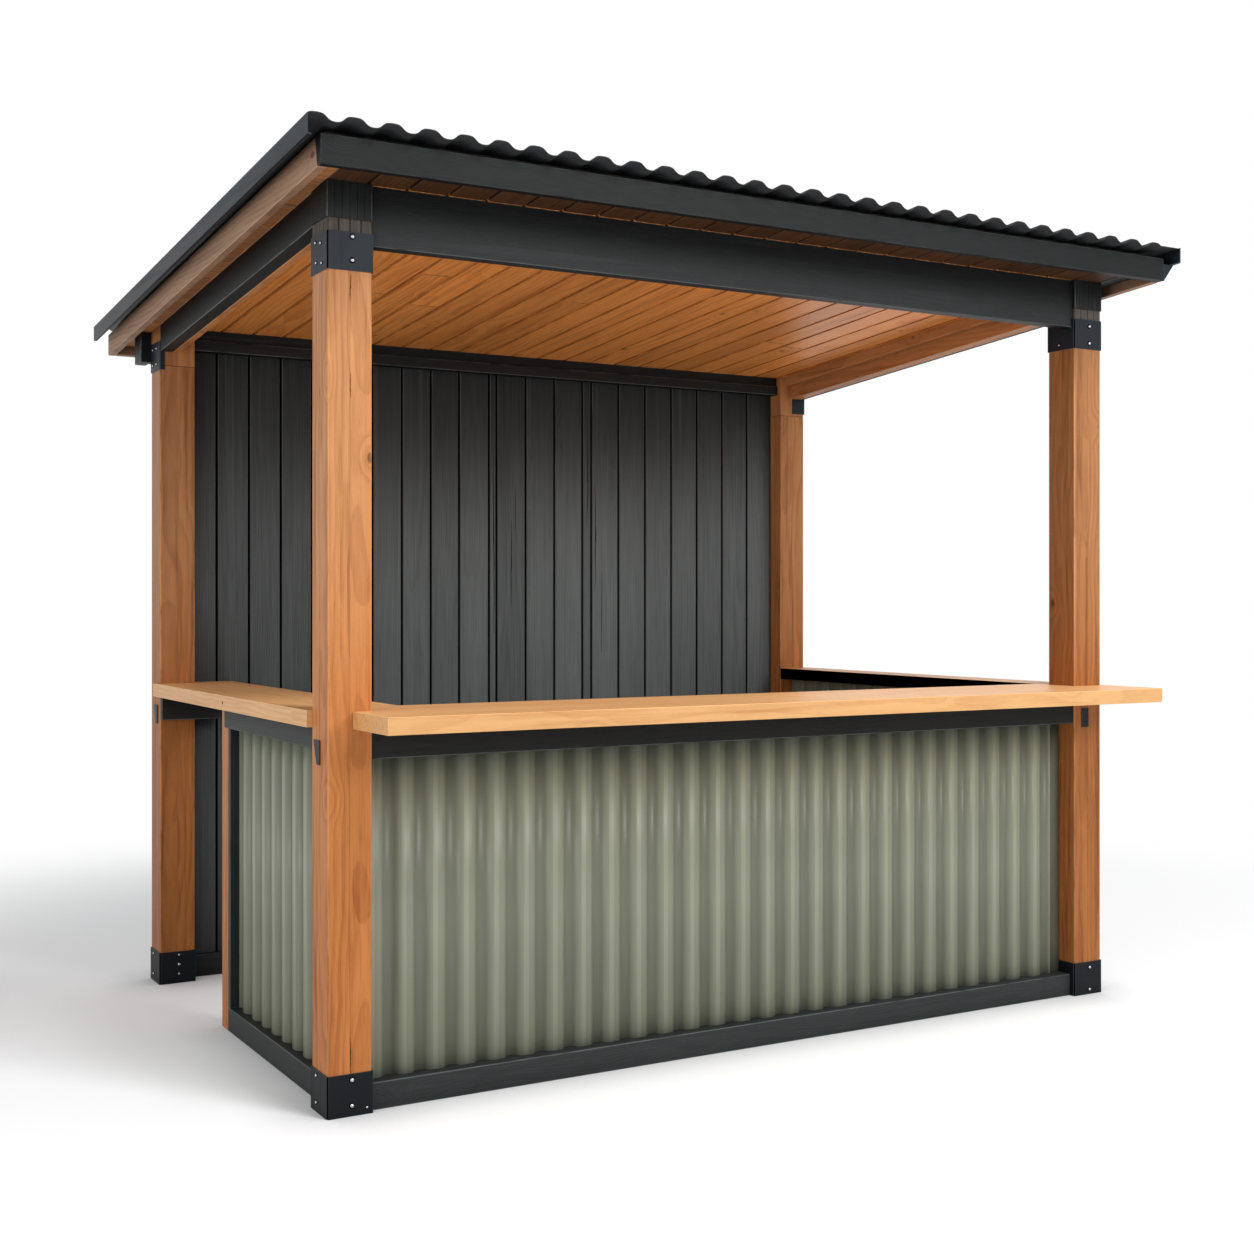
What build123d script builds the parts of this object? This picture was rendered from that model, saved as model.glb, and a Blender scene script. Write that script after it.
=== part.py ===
from build123d import *
import math
import os

# Garden bar: four square cedar posts under a mono-pitch roof, a boarded rear wall, wavy metal
# counter fronts and one level counter on three sides. Millimetres, +Z up, the front faces -Y.
# The origin is on the ground under the middle of the whole outline.

# Posts and their steel fittings
post_size = 120.0
frame_width = 2735.0
frame_depth = 1815.0
plate_thickness = 3.0
shoe_floor = 4.0
shoe_height = 110.0
front_bracket_bottom = 2174.0
rear_bracket_bottom = 2125.0
bracket_height = 99.0
rear_bracket_flange = {"left": 15.0, "right": 60.0}
corner_block_bottom = 2307.0
corner_block_proud = 3.0

# Roof, measured straight up from the underside of the ceiling boards
ceiling_front_height = 2403.0
roof_pitch = 4.18
ceiling_thickness = 18.0
fascia_below_ceiling = 32.0
fascia_height = 75.0
fascia_foot_thickness = 27.0
fascia_top_thickness = 42.0
rear_fascia_thickness = 25.0
front_overhang = 196.0
rear_overhang = 278.0
side_overhang = 88.0
barge_thickness = 25.0
flashing_gap = 42.0
flashing_bottom = 24.0
flashing_height = 51.0
flashing_front_reach = 31.0
flashing_rear_reach = 29.0
flashing_thickness = 3.0
flashing_lip = 12.0
gusset_thickness = 3.0
purlin_height = 44.0
purlin_width = 60.0
purlin_count = 5
roof_wave_count = 30
roof_crest_width = 44.0
roof_wave_depth = 18.0
sheet_thickness = 2.0
sheet_flat_edge = 90.0
sheet_setback = 5.0

# Beams
front_beam_bottom = 2245.0
front_beam_recess = 10.0
beam_thickness = 45.0
side_beam_drop = 91.0
side_lining_thickness = 24.0
side_cladding_thickness = 14.0
ledger_width = 32.0
ledger_height = 39.0
rear_beam_bottom = 2163.0
outrigger_width = 38.0
outrigger_depth = 86.0

# Counter
counter_top_height = 1040.0
counter_thickness = 45.0
counter_front_reach = 242.0
counter_back_depth = 185.0
front_counter_left_inset = 68.0
left_counter_inner = 268.0
right_counter_inner = 120.0
left_counter_reach = 15.0
right_counter_reach = 30.0
counter_tail = 44.0
cleat_thickness = 24.0

# Counter fronts
rail_height = 72.0
rail_width = 70.0
front_rail_recess = 17.0
side_rail_recess = 30.0
apron_height = 80.0
apron_thickness = 45.0
side_apron_height = 60.0
side_apron_thickness = 33.0
apron_ahead_of_rail = 12.0
wave_pitch = 89.0
wave_depth = 18.0
sheet_gap = 2.0
doorway_width = 645.0
stud_width = 65.0
jamb_thickness = 20.0
jamb_depth = 55.0

# Rear wall
wall_face_depth = 50.0
wall_board_thickness = 20.0
wall_rail_height = 78.0
wall_rail_proud = 12.0
header_height = 71.0
header_upper_height = 34.0
header_proud = 50.0
header_upper_proud = 42.0

# Clips under the counter ends
clip_width = 46.0
clip_foot_width = 22.0
clip_height = 64.0
clip_thickness = 4.0
clip_below_counter = 30.0
front_clip_inset = 54.0
rear_clip_inset = 29.0
right_clip_inset = 58.0
right_clip_width = 30.0

# Values that follow from the driving dimensions
slope = math.tan(math.radians(roof_pitch))
flashing_reach = side_overhang + flashing_gap + flashing_thickness
front_reach = max(counter_front_reach, front_overhang + flashing_front_reach)
rear_reach = frame_depth + rear_overhang + flashing_rear_reach
x_left = -frame_width / 2
x_right = frame_width / 2
y_front = -(rear_reach - front_reach) / 2
y_rear = y_front + frame_depth
y_wall = y_rear - wall_face_depth
counter_underside = counter_top_height - counter_thickness
apron_bottom = counter_underside - apron_height
side_apron_bottom = counter_underside - side_apron_height
shoe_edge = post_size + plate_thickness
y_stud = y_rear - post_size - doorway_width
roof_front = y_front - front_overhang
roof_rear = y_rear + rear_overhang
sheet_front_y = y_front - front_overhang - flashing_front_reach + sheet_setback
sheet_rear_y = y_rear + rear_overhang + flashing_rear_reach - sheet_setback
pan_underside = ceiling_thickness + purlin_height


def block(x0, x1, y0, y1, z0, z1):
    """A square-edged solid between six planes."""
    middle = Pos((x0 + x1) / 2, (y0 + y1) / 2, (z0 + z1) / 2)
    return middle * Box(x1 - x0, y1 - y0, z1 - z0)


def across(side, near, far):
    """Two x values, from distances inward of the outer faces of that side's posts."""
    if side == "left":
        return x_left + near, x_left + far
    return x_right - far, x_right - near


def ceiling_z(y):
    """Height of the underside of the ceiling boards at a depth y."""
    return ceiling_front_height - slope * (y - y_front)


def side_prism(outline, x0, x1):
    """A solid whose outline of (y, z) points runs from x0 to x1."""
    corners = [(x0, y, z) for y, z in outline]
    face = make_face(Polyline(*corners, close=True))
    return extrude(face, amount=x1 - x0, dir=(1, 0, 0))


def plan_prism(outline, z0, z1):
    """A solid whose outline of (x, y) points runs from z0 to z1."""
    face = make_face(Polyline(*[(x, y, z0) for x, y in outline], close=True))
    return extrude(face, amount=z1 - z0, dir=(0, 0, 1))


def up_to_ceiling(x0, x1, y0, y1, z0):
    """A solid from a level foot up to the ceiling boards."""
    outline = [(y0, z0), (y1, z0), (y1, ceiling_z(y1)), (y0, ceiling_z(y0))]
    return side_prism(outline, x0, x1)


def along_roof(x0, x1, y0, y1, low, high):
    """A solid that follows the roof pitch, between two heights over the ceiling's underside."""
    outline = [
        (y0, ceiling_z(y0) + low),
        (y1, ceiling_z(y1) + low),
        (y1, ceiling_z(y1) + high),
        (y0, ceiling_z(y0) + high),
    ]
    return side_prism(outline, x0, x1)


def down_the_roof(face, y0, y1):
    """Sweeps an upright section at y0 along the roof pitch to y1."""
    run = y1 - y0
    length = run * math.sqrt(1 + slope * slope)
    return extrude(face, amount=length, dir=(0, run, -slope * run))


def post_footprint(side, end, margin=0.0):
    """x0, x1, y0, y1 of a post, grown all round by a margin."""
    x0, x1 = across(side, 0, post_size)
    y0 = y_front if end == "front" else y_rear - post_size
    return x0 - margin, x1 + margin, y0 - margin, y0 + post_size + margin


def post(side, end):
    """A post stands in its shoe. The front ones stop under their corner blocks."""
    footprint = post_footprint(side, end)
    if end == "front":
        return block(*footprint, shoe_floor, corner_block_bottom)
    return up_to_ceiling(*footprint, shoe_floor)


def base_shoe(side, end):
    """A folded steel shoe with a floor, open at the top."""
    outside = block(*post_footprint(side, end, plate_thickness), 0, shoe_height)
    return outside - block(*post_footprint(side, end), shoe_floor, shoe_height)


def front_bracket(side, beams):
    """A steel sleeve round the post, cut away where the beams meet it."""
    z0 = front_bracket_bottom
    z1 = z0 + bracket_height
    sleeve = block(*post_footprint(side, "front", plate_thickness), z0, z1)
    sleeve -= block(*post_footprint(side, "front"), z0, z1)
    for beam in beams:
        sleeve -= beam
    return sleeve


def rear_bracket(side, beams):
    """An angle plate on the outer face of a rear post, with a flange round its front edge."""
    z0 = rear_bracket_bottom
    z1 = z0 + bracket_height
    y0 = y_rear - post_size
    plate = block(*across(side, -plate_thickness, 0), y0 - plate_thickness, y_rear, z0, z1)
    flange = block(*across(side, 0, rear_bracket_flange[side]), y0 - plate_thickness, y0, z0, z1)
    bracket = plate + flange
    for beam in beams:
        bracket -= beam
    return bracket


def corner_block(side):
    """The dark block between a front post and the ceiling, a little proud of the post."""
    x0, x1 = across(side, -corner_block_proud, post_size)
    y0 = y_front - corner_block_proud
    return up_to_ceiling(x0, x1, y0, y_front + post_size, corner_block_bottom)


def front_beam():
    y0 = y_front + front_beam_recess
    x0 = x_left + post_size
    x1 = x_right - post_size
    return up_to_ceiling(x0, x1, y0, y0 + beam_thickness, front_beam_bottom)


def side_member(side, near, far, drop):
    """A member under the ceiling between the front and rear posts of one side."""
    y0 = y_front + post_size
    y1 = y_rear - post_size
    return along_roof(*across(side, near, far), y0, y1, -drop, 0)


def rear_beam():
    return up_to_ceiling(x_left, x_right, y_rear, y_rear + beam_thickness, rear_beam_bottom)


def outrigger(side):
    """A short block outside one end of the rear beam, under the eave."""
    footprint = (*across(side, -outrigger_width, 0), y_rear, y_rear + outrigger_depth)
    return up_to_ceiling(*footprint, rear_beam_bottom)


def front_fascia():
    """A dark board along the high edge, thicker at its top."""
    y0 = roof_front
    z0 = ceiling_z(y0) - fascia_below_ceiling
    z1 = z0 + fascia_height
    outline = [(y0, z0), (y0 + fascia_foot_thickness, z0), (y0 + fascia_top_thickness, z1), (y0, z1)]
    return side_prism(outline, x_left - side_overhang, x_right + side_overhang)


def barge_board(side):
    """The cedar board down one side of the roof, behind the front fascia's end."""
    x0, x1 = across(side, -side_overhang, barge_thickness - side_overhang)
    y_foot = roof_front + fascia_foot_thickness
    y_head = roof_front + fascia_top_thickness
    low = -fascia_below_ceiling
    high = fascia_height - fascia_below_ceiling
    outline = [
        (y_foot, ceiling_z(y_foot) + low),
        (roof_rear, ceiling_z(roof_rear) + low),
        (roof_rear, ceiling_z(roof_rear) + high),
        (y_head, ceiling_z(y_head) + high),
    ]
    return side_prism(outline, x0, x1)


def between_barges(y0, y1, low, high):
    """A member that follows the roof between the two barge boards."""
    inset = side_overhang - barge_thickness
    return along_roof(x_left - inset, x_right + inset, y0, y1, low, high)


def roof_flashing(side):
    """A folded edge strip: an upright leg at the end of the roof sheet and a lip turned in."""
    y0 = roof_front - flashing_front_reach
    z0 = ceiling_z(y0) + flashing_bottom
    z1 = z0 + flashing_height
    outward = -1 if side == "left" else 1
    edge = x_left if side == "left" else x_right
    x_out = edge + outward * flashing_reach
    x_in = x_out - outward * flashing_thickness
    x_lip = x_out - outward * flashing_lip
    outline = [
        (x_out, z0),
        (x_lip, z0),
        (x_lip, z0 + flashing_thickness),
        (x_in, z0 + flashing_thickness),
        (x_in, z1),
        (x_out, z1),
    ]
    face = make_face(Polyline(*[(x, y0, z) for x, z in outline], close=True))
    return down_the_roof(face, y0, roof_rear + flashing_rear_reach)


def flashing_gusset():
    """A small plate from the right flashing down to the bottom corner of the front fascia."""
    x_end = x_right + side_overhang
    z_top = ceiling_z(roof_front) + flashing_bottom
    z_foot = ceiling_z(roof_front) - fascia_below_ceiling
    outline = [(x_end, z_foot), (x_right + flashing_reach, z_top), (x_end, z_top)]
    face = make_face(Polyline(*[(x, roof_front, z) for x, z in outline], close=True))
    return down_the_roof(face, roof_front, roof_front + gusset_thickness)


def purlin(index):
    """One of the battens that carry the roof sheet, evenly spaced down the roof."""
    first = roof_front + fascia_top_thickness
    last = roof_rear - rear_fascia_thickness - purlin_width
    y0 = first + (last - first) * index / (purlin_count - 1)
    return between_barges(y0, y0 + purlin_width, ceiling_thickness, pan_underside)


def roof_sheet():
    """Wavy metal between the flashings, flat past its last crest on the right."""
    edge = frame_width / 2 + flashing_reach - flashing_thickness
    pitch = (2 * edge - sheet_flat_edge - roof_crest_width) / (roof_wave_count - 1)
    trough_width = pitch - roof_crest_width
    trough_depth = roof_wave_depth * trough_width / pitch
    level = ceiling_z(sheet_front_y) + pan_underside + trough_depth
    lower = []
    upper = []
    x = -edge
    for index in range(2 * roof_wave_count - 1):
        width = trough_width if index % 2 else roof_crest_width
        swing = -trough_depth if index % 2 else roof_wave_depth - trough_depth
        for line, z in ((lower, level), (upper, level + sheet_thickness)):
            start = (x, sheet_front_y, z)
            middle = (x + width / 2, sheet_front_y, z + swing)
            line.append(ThreePointArc(start, middle, (x + width, sheet_front_y, z)))
        x += width
    for line, z in ((lower, level), (upper, level + sheet_thickness)):
        line.append(Line((x, sheet_front_y, z), (edge, sheet_front_y, z)))
    sides = []
    for end in (-edge, edge):
        foot = (end, sheet_front_y, level)
        sides.append(Line(foot, (end, sheet_front_y, level + sheet_thickness)))
    return down_the_roof(make_face(lower + upper + sides), sheet_front_y, sheet_rear_y)


def wave_line(start, half_pitch, count, middle, swing, place):
    """Alternating arcs through the crests and troughs of a corrugated sheet."""
    arcs = []
    for index in range(count):
        a = start + index * half_pitch
        peak = middle + swing * (1 if index % 2 else -1)
        ends = place(a, middle), place(a + half_pitch / 2, peak), place(a + half_pitch, middle)
        arcs.append(ThreePointArc(*ends))
    return arcs


def corrugated_sheet(start, end, outer, place):
    """A wavy sheet from the base rail to the counter. Its outermost crest lies at outer."""
    waves = max(1, round((end - start) / wave_pitch))
    half_pitch = (end - start) / (2 * waves)
    swing = wave_depth / 2
    front_middle = outer + swing
    back_middle = front_middle + sheet_thickness
    front = wave_line(start, half_pitch, 2 * waves, front_middle, swing, place)
    back = wave_line(start, half_pitch, 2 * waves, back_middle, swing, place)
    near = Line(place(start, front_middle), place(start, back_middle))
    far = Line(place(end, front_middle), place(end, back_middle))
    face = make_face(front + back + [near, far])
    return extrude(face, amount=counter_underside - rail_height, dir=(0, 0, 1))


def front_sheet():
    outer = y_front + front_rail_recess - apron_ahead_of_rail + apron_thickness + sheet_gap
    return corrugated_sheet(
        x_left + shoe_edge, x_right - shoe_edge, outer, lambda a, b: (a, b, rail_height)
    )


def side_sheet(side, y0, y1):
    outer = side_rail_recess - apron_ahead_of_rail + side_apron_thickness + sheet_gap
    if side == "left":
        return corrugated_sheet(y0, y1, outer, lambda a, b: (x_left + b, a, rail_height))
    return corrugated_sheet(y0, y1, outer, lambda a, b: (x_right - b, a, rail_height))


def front_counter():
    """The long slab, cut out round both front posts."""
    slab = block(
        x_left + front_counter_left_inset,
        x_right + right_counter_reach,
        y_front - counter_front_reach,
        y_front + counter_back_depth,
        counter_underside,
        counter_top_height,
    )
    for side in ("left", "right"):
        slab -= block(*post_footprint(side, "front"), counter_underside, counter_top_height)
    return slab


def side_counter(side):
    """A slab from the front counter to the rear wall, cut out round the posts."""
    outward = -1 if side == "left" else 1
    edge = x_left if side == "left" else x_right
    reach = left_counter_reach if side == "left" else right_counter_reach
    depth = left_counter_inner if side == "left" else right_counter_inner
    y_join = y_front + counter_back_depth
    y_post = y_rear - post_size
    inner = edge - outward * depth
    post_inner = edge - outward * post_size
    outline = [(inner, y_join)]
    if depth > post_size:
        outline += [(inner, y_wall), (post_inner, y_wall), (post_inner, y_post)]
    else:
        outline += [(inner, y_post)]
    outline += [
        (edge, y_post),
        (edge, y_post + counter_tail),
        (edge + outward * reach, y_post + counter_tail),
    ]
    if side == "left":
        y_back = y_front + post_size
        x_cut = x_left + front_counter_left_inset
        outline += [(edge - reach, y_back), (x_cut, y_back), (x_cut, y_join)]
    else:
        outline += [(edge + reach, y_join)]
    return plan_prism(outline, counter_underside, counter_top_height)


def side_clip(y_near):
    """A small plate on the outer face of a left post, with its rear edge cut on a slant."""
    z1 = counter_underside - clip_below_counter
    z0 = z1 - clip_height
    outline = [
        (y_near, z0),
        (y_near + clip_foot_width, z0),
        (y_near + clip_width, z1),
        (y_near, z1),
    ]
    return side_prism(outline, x_left - clip_thickness, x_left)


def front_clip():
    """A plain plate on the front face of the front right post."""
    x0 = x_right - right_clip_inset - right_clip_width
    z1 = counter_underside - clip_below_counter
    y0 = y_front - clip_thickness
    return block(x0, x0 + right_clip_width, y0, y_front, z1 - clip_height, z1)


def header_trim():
    """Two stepped battens across the top of the rear wall."""
    x0 = x_left + post_size
    x1 = x_right - post_size
    z_low = ceiling_z(y_wall) - header_height
    z_step = z_low + header_height - header_upper_height
    lower = block(x0, x1, y_wall - header_proud, y_wall, z_low, z_step)
    return lower + up_to_ceiling(x0, x1, y_wall - header_upper_proud, y_wall, z_step)


pieces = {}

# Side members first, because the brackets are cut away round them
pieces["front_beam"] = front_beam()
pieces["left_beam"] = side_member("left", 0, beam_thickness, side_beam_drop)
lining_edge = beam_thickness + side_lining_thickness
pieces["left_beam_lining"] = side_member("left", beam_thickness, lining_edge, side_beam_drop)
pieces["right_beam"] = side_member("right", side_cladding_thickness, lining_edge, side_beam_drop)
pieces["right_beam_cladding"] = side_member("right", 0, side_cladding_thickness, side_beam_drop)
pieces["ceiling_ledgers"] = Compound(
    [
        side_member(side, lining_edge, lining_edge + ledger_width, ledger_height).solid()
        for side in ("left", "right")
    ]
)
pieces["rear_beam"] = rear_beam()
pieces["rear_outriggers"] = Compound([outrigger(side).solid() for side in ("left", "right")])

side_beams = {
    "left": [pieces["front_beam"], pieces["left_beam"], pieces["left_beam_lining"]],
    "right": [pieces["front_beam"], pieces["right_beam"], pieces["right_beam_cladding"]],
}
for side in ("left", "right"):
    for end in ("front", "rear"):
        pieces[f"{end}_{side}_post"] = post(side, end)
        pieces[f"{end}_{side}_base_shoe"] = base_shoe(side, end)
    pieces[f"front_{side}_corner_block"] = corner_block(side)
    pieces[f"{side}_barge_board"] = barge_board(side)
    pieces[f"{side}_roof_flashing"] = roof_flashing(side)
    pieces[f"{side}_counter"] = side_counter(side)
brackets = []
for side in ("left", "right"):
    brackets.append(front_bracket(side, side_beams[side]).solid())
    brackets.append(rear_bracket(side, side_beams[side]).solid())
pieces["post_top_brackets"] = Compound(brackets)

# Roof
ceiling_front = roof_front + fascia_top_thickness
ceiling_rear = roof_rear - rear_fascia_thickness
pieces["ceiling_boards"] = along_roof(
    x_left, x_right, ceiling_front, ceiling_rear, 0, ceiling_thickness
)
eave_inset = barge_thickness - side_overhang
pieces["eave_soffits"] = Compound(
    [
        along_roof(
            *across(side, eave_inset, 0), ceiling_front, ceiling_rear, 0, ceiling_thickness
        ).solid()
        for side in ("left", "right")
    ]
)
pieces["front_fascia"] = front_fascia()
pieces["rear_fascia"] = between_barges(
    ceiling_rear, roof_rear, -fascia_below_ceiling, fascia_height - fascia_below_ceiling
)
pieces["roof_purlins"] = Compound([purlin(index).solid() for index in range(purlin_count)])
pieces["roof_sheet"] = roof_sheet()
pieces["right_flashing_gusset"] = flashing_gusset()

# Rear wall
wall_x0 = x_left + post_size
wall_x1 = x_right - post_size
wall_boards = up_to_ceiling(
    wall_x0, wall_x1, y_wall, y_wall + wall_board_thickness, wall_rail_height
)
for side in ("left", "right"):
    wall_boards -= pieces[f"rear_{side}_base_shoe"]
pieces["rear_wall_boards"] = wall_boards
pieces["rear_wall_rail"] = block(
    x_left + shoe_edge, x_right - shoe_edge, y_wall - wall_rail_proud, y_rear, 0, wall_rail_height
)
pieces["rear_wall_header"] = header_trim()

# Counter and counter fronts
pieces["front_counter"] = front_counter()
rail_y = y_front + front_rail_recess
pieces["front_base_rail"] = block(
    x_left + shoe_edge, x_right - shoe_edge, rail_y, rail_y + rail_width, 0, rail_height
)
side_rail_x = (side_rail_recess, side_rail_recess + rail_width)
y_side_start = y_front + shoe_edge
y_side_end = y_rear - shoe_edge
y_jamb = y_stud - stud_width - jamb_thickness
pieces["left_base_rail"] = block(
    *across("left", *side_rail_x), y_side_start, y_stud - stud_width, 0, rail_height
)
pieces["right_base_rail"] = block(
    *across("right", *side_rail_x), y_side_start, y_side_end, 0, rail_height
)
apron_y = rail_y - apron_ahead_of_rail
pieces["front_apron"] = block(
    wall_x0, wall_x1, apron_y, apron_y + apron_thickness, apron_bottom, counter_underside
)
apron_inset = side_rail_recess - apron_ahead_of_rail
apron_x = (apron_inset, apron_inset + side_apron_thickness)
apron_z = (side_apron_bottom, counter_underside)
y_post_back = y_front + post_size
pieces["left_apron"] = block(*across("left", *apron_x), y_post_back, y_stud - stud_width, *apron_z)
pieces["right_apron"] = block(*across("right", *apron_x), y_post_back, y_rear - post_size, *apron_z)
pieces["front_sheet"] = front_sheet()
pieces["left_sheet"] = side_sheet("left", y_side_start, y_jamb)
pieces["right_sheet"] = side_sheet("right", y_side_start, y_side_end)
pieces["doorway_jamb"] = block(
    *across("left", side_rail_recess, side_rail_recess + jamb_depth),
    y_jamb,
    y_stud - stud_width,
    rail_height,
    side_apron_bottom,
)
pieces["doorway_stud"] = block(
    *across("left", *side_rail_x), y_stud - stud_width, y_stud, 0, counter_underside
)
y_cleat = y_rear - post_size - cleat_thickness
pieces["left_counter_cleat"] = block(
    *across("left", 0, left_counter_inner - cleat_thickness),
    y_cleat,
    y_rear - post_size,
    apron_bottom,
    counter_underside,
)
pieces["counter_clips"] = Compound(
    [
        side_clip(y_front + front_clip_inset).solid(),
        side_clip(y_rear - post_size + rear_clip_inset).solid(),
        front_clip().solid(),
    ]
)

os.makedirs("parts", exist_ok=True)
for name, shape in pieces.items():
    export_step(shape, f"parts/{name}.step")
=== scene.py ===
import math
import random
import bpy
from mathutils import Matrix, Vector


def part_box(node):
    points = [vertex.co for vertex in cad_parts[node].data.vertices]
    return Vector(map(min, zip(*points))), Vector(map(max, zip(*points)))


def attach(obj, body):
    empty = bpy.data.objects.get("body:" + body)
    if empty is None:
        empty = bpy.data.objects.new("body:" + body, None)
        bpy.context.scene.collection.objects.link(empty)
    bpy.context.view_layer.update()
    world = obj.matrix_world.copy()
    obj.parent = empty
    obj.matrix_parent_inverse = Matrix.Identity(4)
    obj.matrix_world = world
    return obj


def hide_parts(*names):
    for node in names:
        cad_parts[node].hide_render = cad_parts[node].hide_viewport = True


bl_info = {
    "name": "Garden Bar Looks",
    "version": (1, 0, 0),
    "blender": (4, 5, 0),
    "location": "View3D > Sidebar > Garden Bar",
    "description": "Builds the boards, metalwork and finishes of a garden bar around its packed model",
    "category": "Object",
}

import bmesh
import bpy
from mathutils import Vector

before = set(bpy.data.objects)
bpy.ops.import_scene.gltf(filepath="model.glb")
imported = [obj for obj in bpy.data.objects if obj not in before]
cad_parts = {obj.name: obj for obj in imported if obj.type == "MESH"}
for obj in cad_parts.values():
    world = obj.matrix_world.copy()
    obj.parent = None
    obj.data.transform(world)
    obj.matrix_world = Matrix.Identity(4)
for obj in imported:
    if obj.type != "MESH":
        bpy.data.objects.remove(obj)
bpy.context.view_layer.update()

# Places that every piece is measured from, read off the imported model
FRONT_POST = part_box("front_left_post")
RIGHT_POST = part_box("front_right_post")
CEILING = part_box("ceiling_boards")
LEFT = FRONT_POST[0].x
RIGHT = RIGHT_POST[1].x
FRONT = FRONT_POST[0].y
CEILING_THICKNESS = 0.018
SLOPE = (CEILING[1].z - CEILING[0].z - CEILING_THICKNESS) / (CEILING[1].y - CEILING[0].y)

# Thickness of the dark layer behind open joints, of steel plates and of wavy sheets
BACKING = 0.003
PLATE = 0.003
SHEET = 0.002

# For each axis that a piece runs along, the two axes across it and then its own
ALONG = {"x": (1, 2, 0), "y": (2, 0, 1), "z": (0, 1, 2)}

# The tint of each post's timber. Below 0 is darker
POST_TONES = {
    "front_left_post": 0.0,
    "front_right_post": -2.2,
    "rear_left_post": -2.2,
    "rear_right_post": -0.6,
}

# Where each rear post is jointed, by its height
REAR_POST_JOINTS = {"rear_left_post": 2.140, "rear_right_post": 2.115}
JOINT_GAP = 0.0016

# How far below the top of its bracket a front post's weathered top begins
POST_TOP_DROP = 0.05

# Foot and head of each split in the front of the front left post, and how far across they lie
POST_SPLITS = ((2.095, 2.165), (1.845, 1.915), (0.105, 0.205))
POST_SPLITS_ACROSS = 0.062

# Splits in the wall boards: distance from the left post's face, foot, head and width
WALL_SHAKES = (
    (1.305, 1.20, 1.92, 0.0042),
    (1.378, 1.30, 1.64, 0.0030),
    (1.400, 1.55, 1.78, 0.0024),
    (1.716, 1.62, 2.02, 0.0034),
    (1.752, 1.36, 1.80, 0.0040),
    (1.782, 1.12, 1.44, 0.0030),
)

# The wall's boards from the left: narrow ones, a wide one, a slip, wide ones, a slip, wide ones
NARROW_BOARDS = 8
WIDE_BOARDS_BETWEEN = 3
WALL_SLIPS = (0.032, 0.041)

# Share of the ceiling boards that are jointed along their length
JOINTED_SHARE = 0.45

# How broad the crests of a wavy sheet are, and how steep its flanks
ROOF_WAVE = (0.2, 1.5)
FRONT_WAVE = (0.22, 1.7)

# Joints in the counters: along the front one from the left, along each side one from the front,
# and the seam in from each side one's post face. The knot in the left one lies so far back
FRONT_COUNTER_JOINT = 1.85
SIDE_COUNTER_JOINTS = (0.242, 1.409)
SIDE_COUNTER_SEAM = 0.12
COUNTER_KNOT = 0.889

# Bolts in a shoe's front: distance from the post's left face, height, and share of the radius
SHOE_BOLTS = {
    "front_left": ((0.064, 0.094, 1.0), (0.064, 0.028, 1.0), (0.105, 0.018, 0.6)),
    "front_right": ((0.066, 0.091, 0.9), (0.066, 0.017, 0.9)),
    "rear_left": ((0.064, 0.099, 0.7), (0.064, 0.066, 0.9), (0.064, 0.033, 0.7)),
    "rear_right": ((0.064, 0.099, 0.7), (0.064, 0.066, 0.9), (0.064, 0.033, 0.7)),
}

# Bolts in a shoe's sides: distance back and height
SHOE_SIDE_BOLTS = ((0.076, 0.096), (0.076, 0.026))

# Bolts in a front post's bracket: heights in its front, and distance back and height in its sides
BRACKET_FRONT_BOLTS = {"front_left": (2.262, 2.201), "front_right": (2.251, 2.194)}
BRACKET_SIDE_BOLTS = {
    "front_left": ((0.083, 2.254), (0.044, 2.247), (0.077, 2.201), (0.036, 2.194)),
    "front_right": ((0.067, 2.192),),
}
BRACKET_HEIGHT = 0.099

# A rear bracket: its foot, how far it folds round the post, and its bolts' places on it
REAR_BRACKET_FOOT = 2.125
REAR_BRACKET_FOLDS = {"rear_left": 0.015, "rear_right": 0.060}
REAR_BRACKET_BOLTS = ((0.035, 0.022), (0.035, 0.077), (0.085, 0.022), (0.085, 0.077))

# Lamps: place, width and power
LAMPS = {
    "key": ((2.6, -7.6, 4.4), 2.6, 260.0),
    "top": ((0.4, -4.6, 7.6), 2.2, 290.0),
    "fill": ((-7.6, -3.2, 1.7), 3.0, 125.0),
}
AIM_HEIGHT = 1.0
WORLD_LIGHT = 0.50

# The floor: its half width, its colour and own light near the bar, and where these fade to white
FLOOR_REACH = 60.0
FLOOR_SHOWN = (0.828, 0.84, 0.857)
FLOOR_GLOW = 0.22
FLOOR_FADES = (2.2, 4.6)

# The camera stands left of and before the front left post, and looks level, a little to the right
CAMERA_LEFT = 1.420
CAMERA_BEFORE = 3.9875
CAMERA_HEIGHT = 1.3238
CAMERA_TURN = math.radians(-30.0)

# The photograph in pixels: its width, the lens's length and how far its middle lies below eye level
PHOTO_WIDTH = 1254.0
PHOTO_LENS = 1631.2
PHOTO_DROP = 25.5
FILM_WIDTH = 36.0


def ceiling_z(y):
    """Height of the underside of the ceiling boards at a depth y."""
    return CEILING[1].z - CEILING_THICKNESS - SLOPE * (y - CEILING[0].y)


def tilt_with_roof(point):
    """Takes a point measured up from the ceiling's underside to its real place."""
    return Vector((point.x, point.y, point.z + ceiling_z(point.y)))


# Joinery


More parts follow.
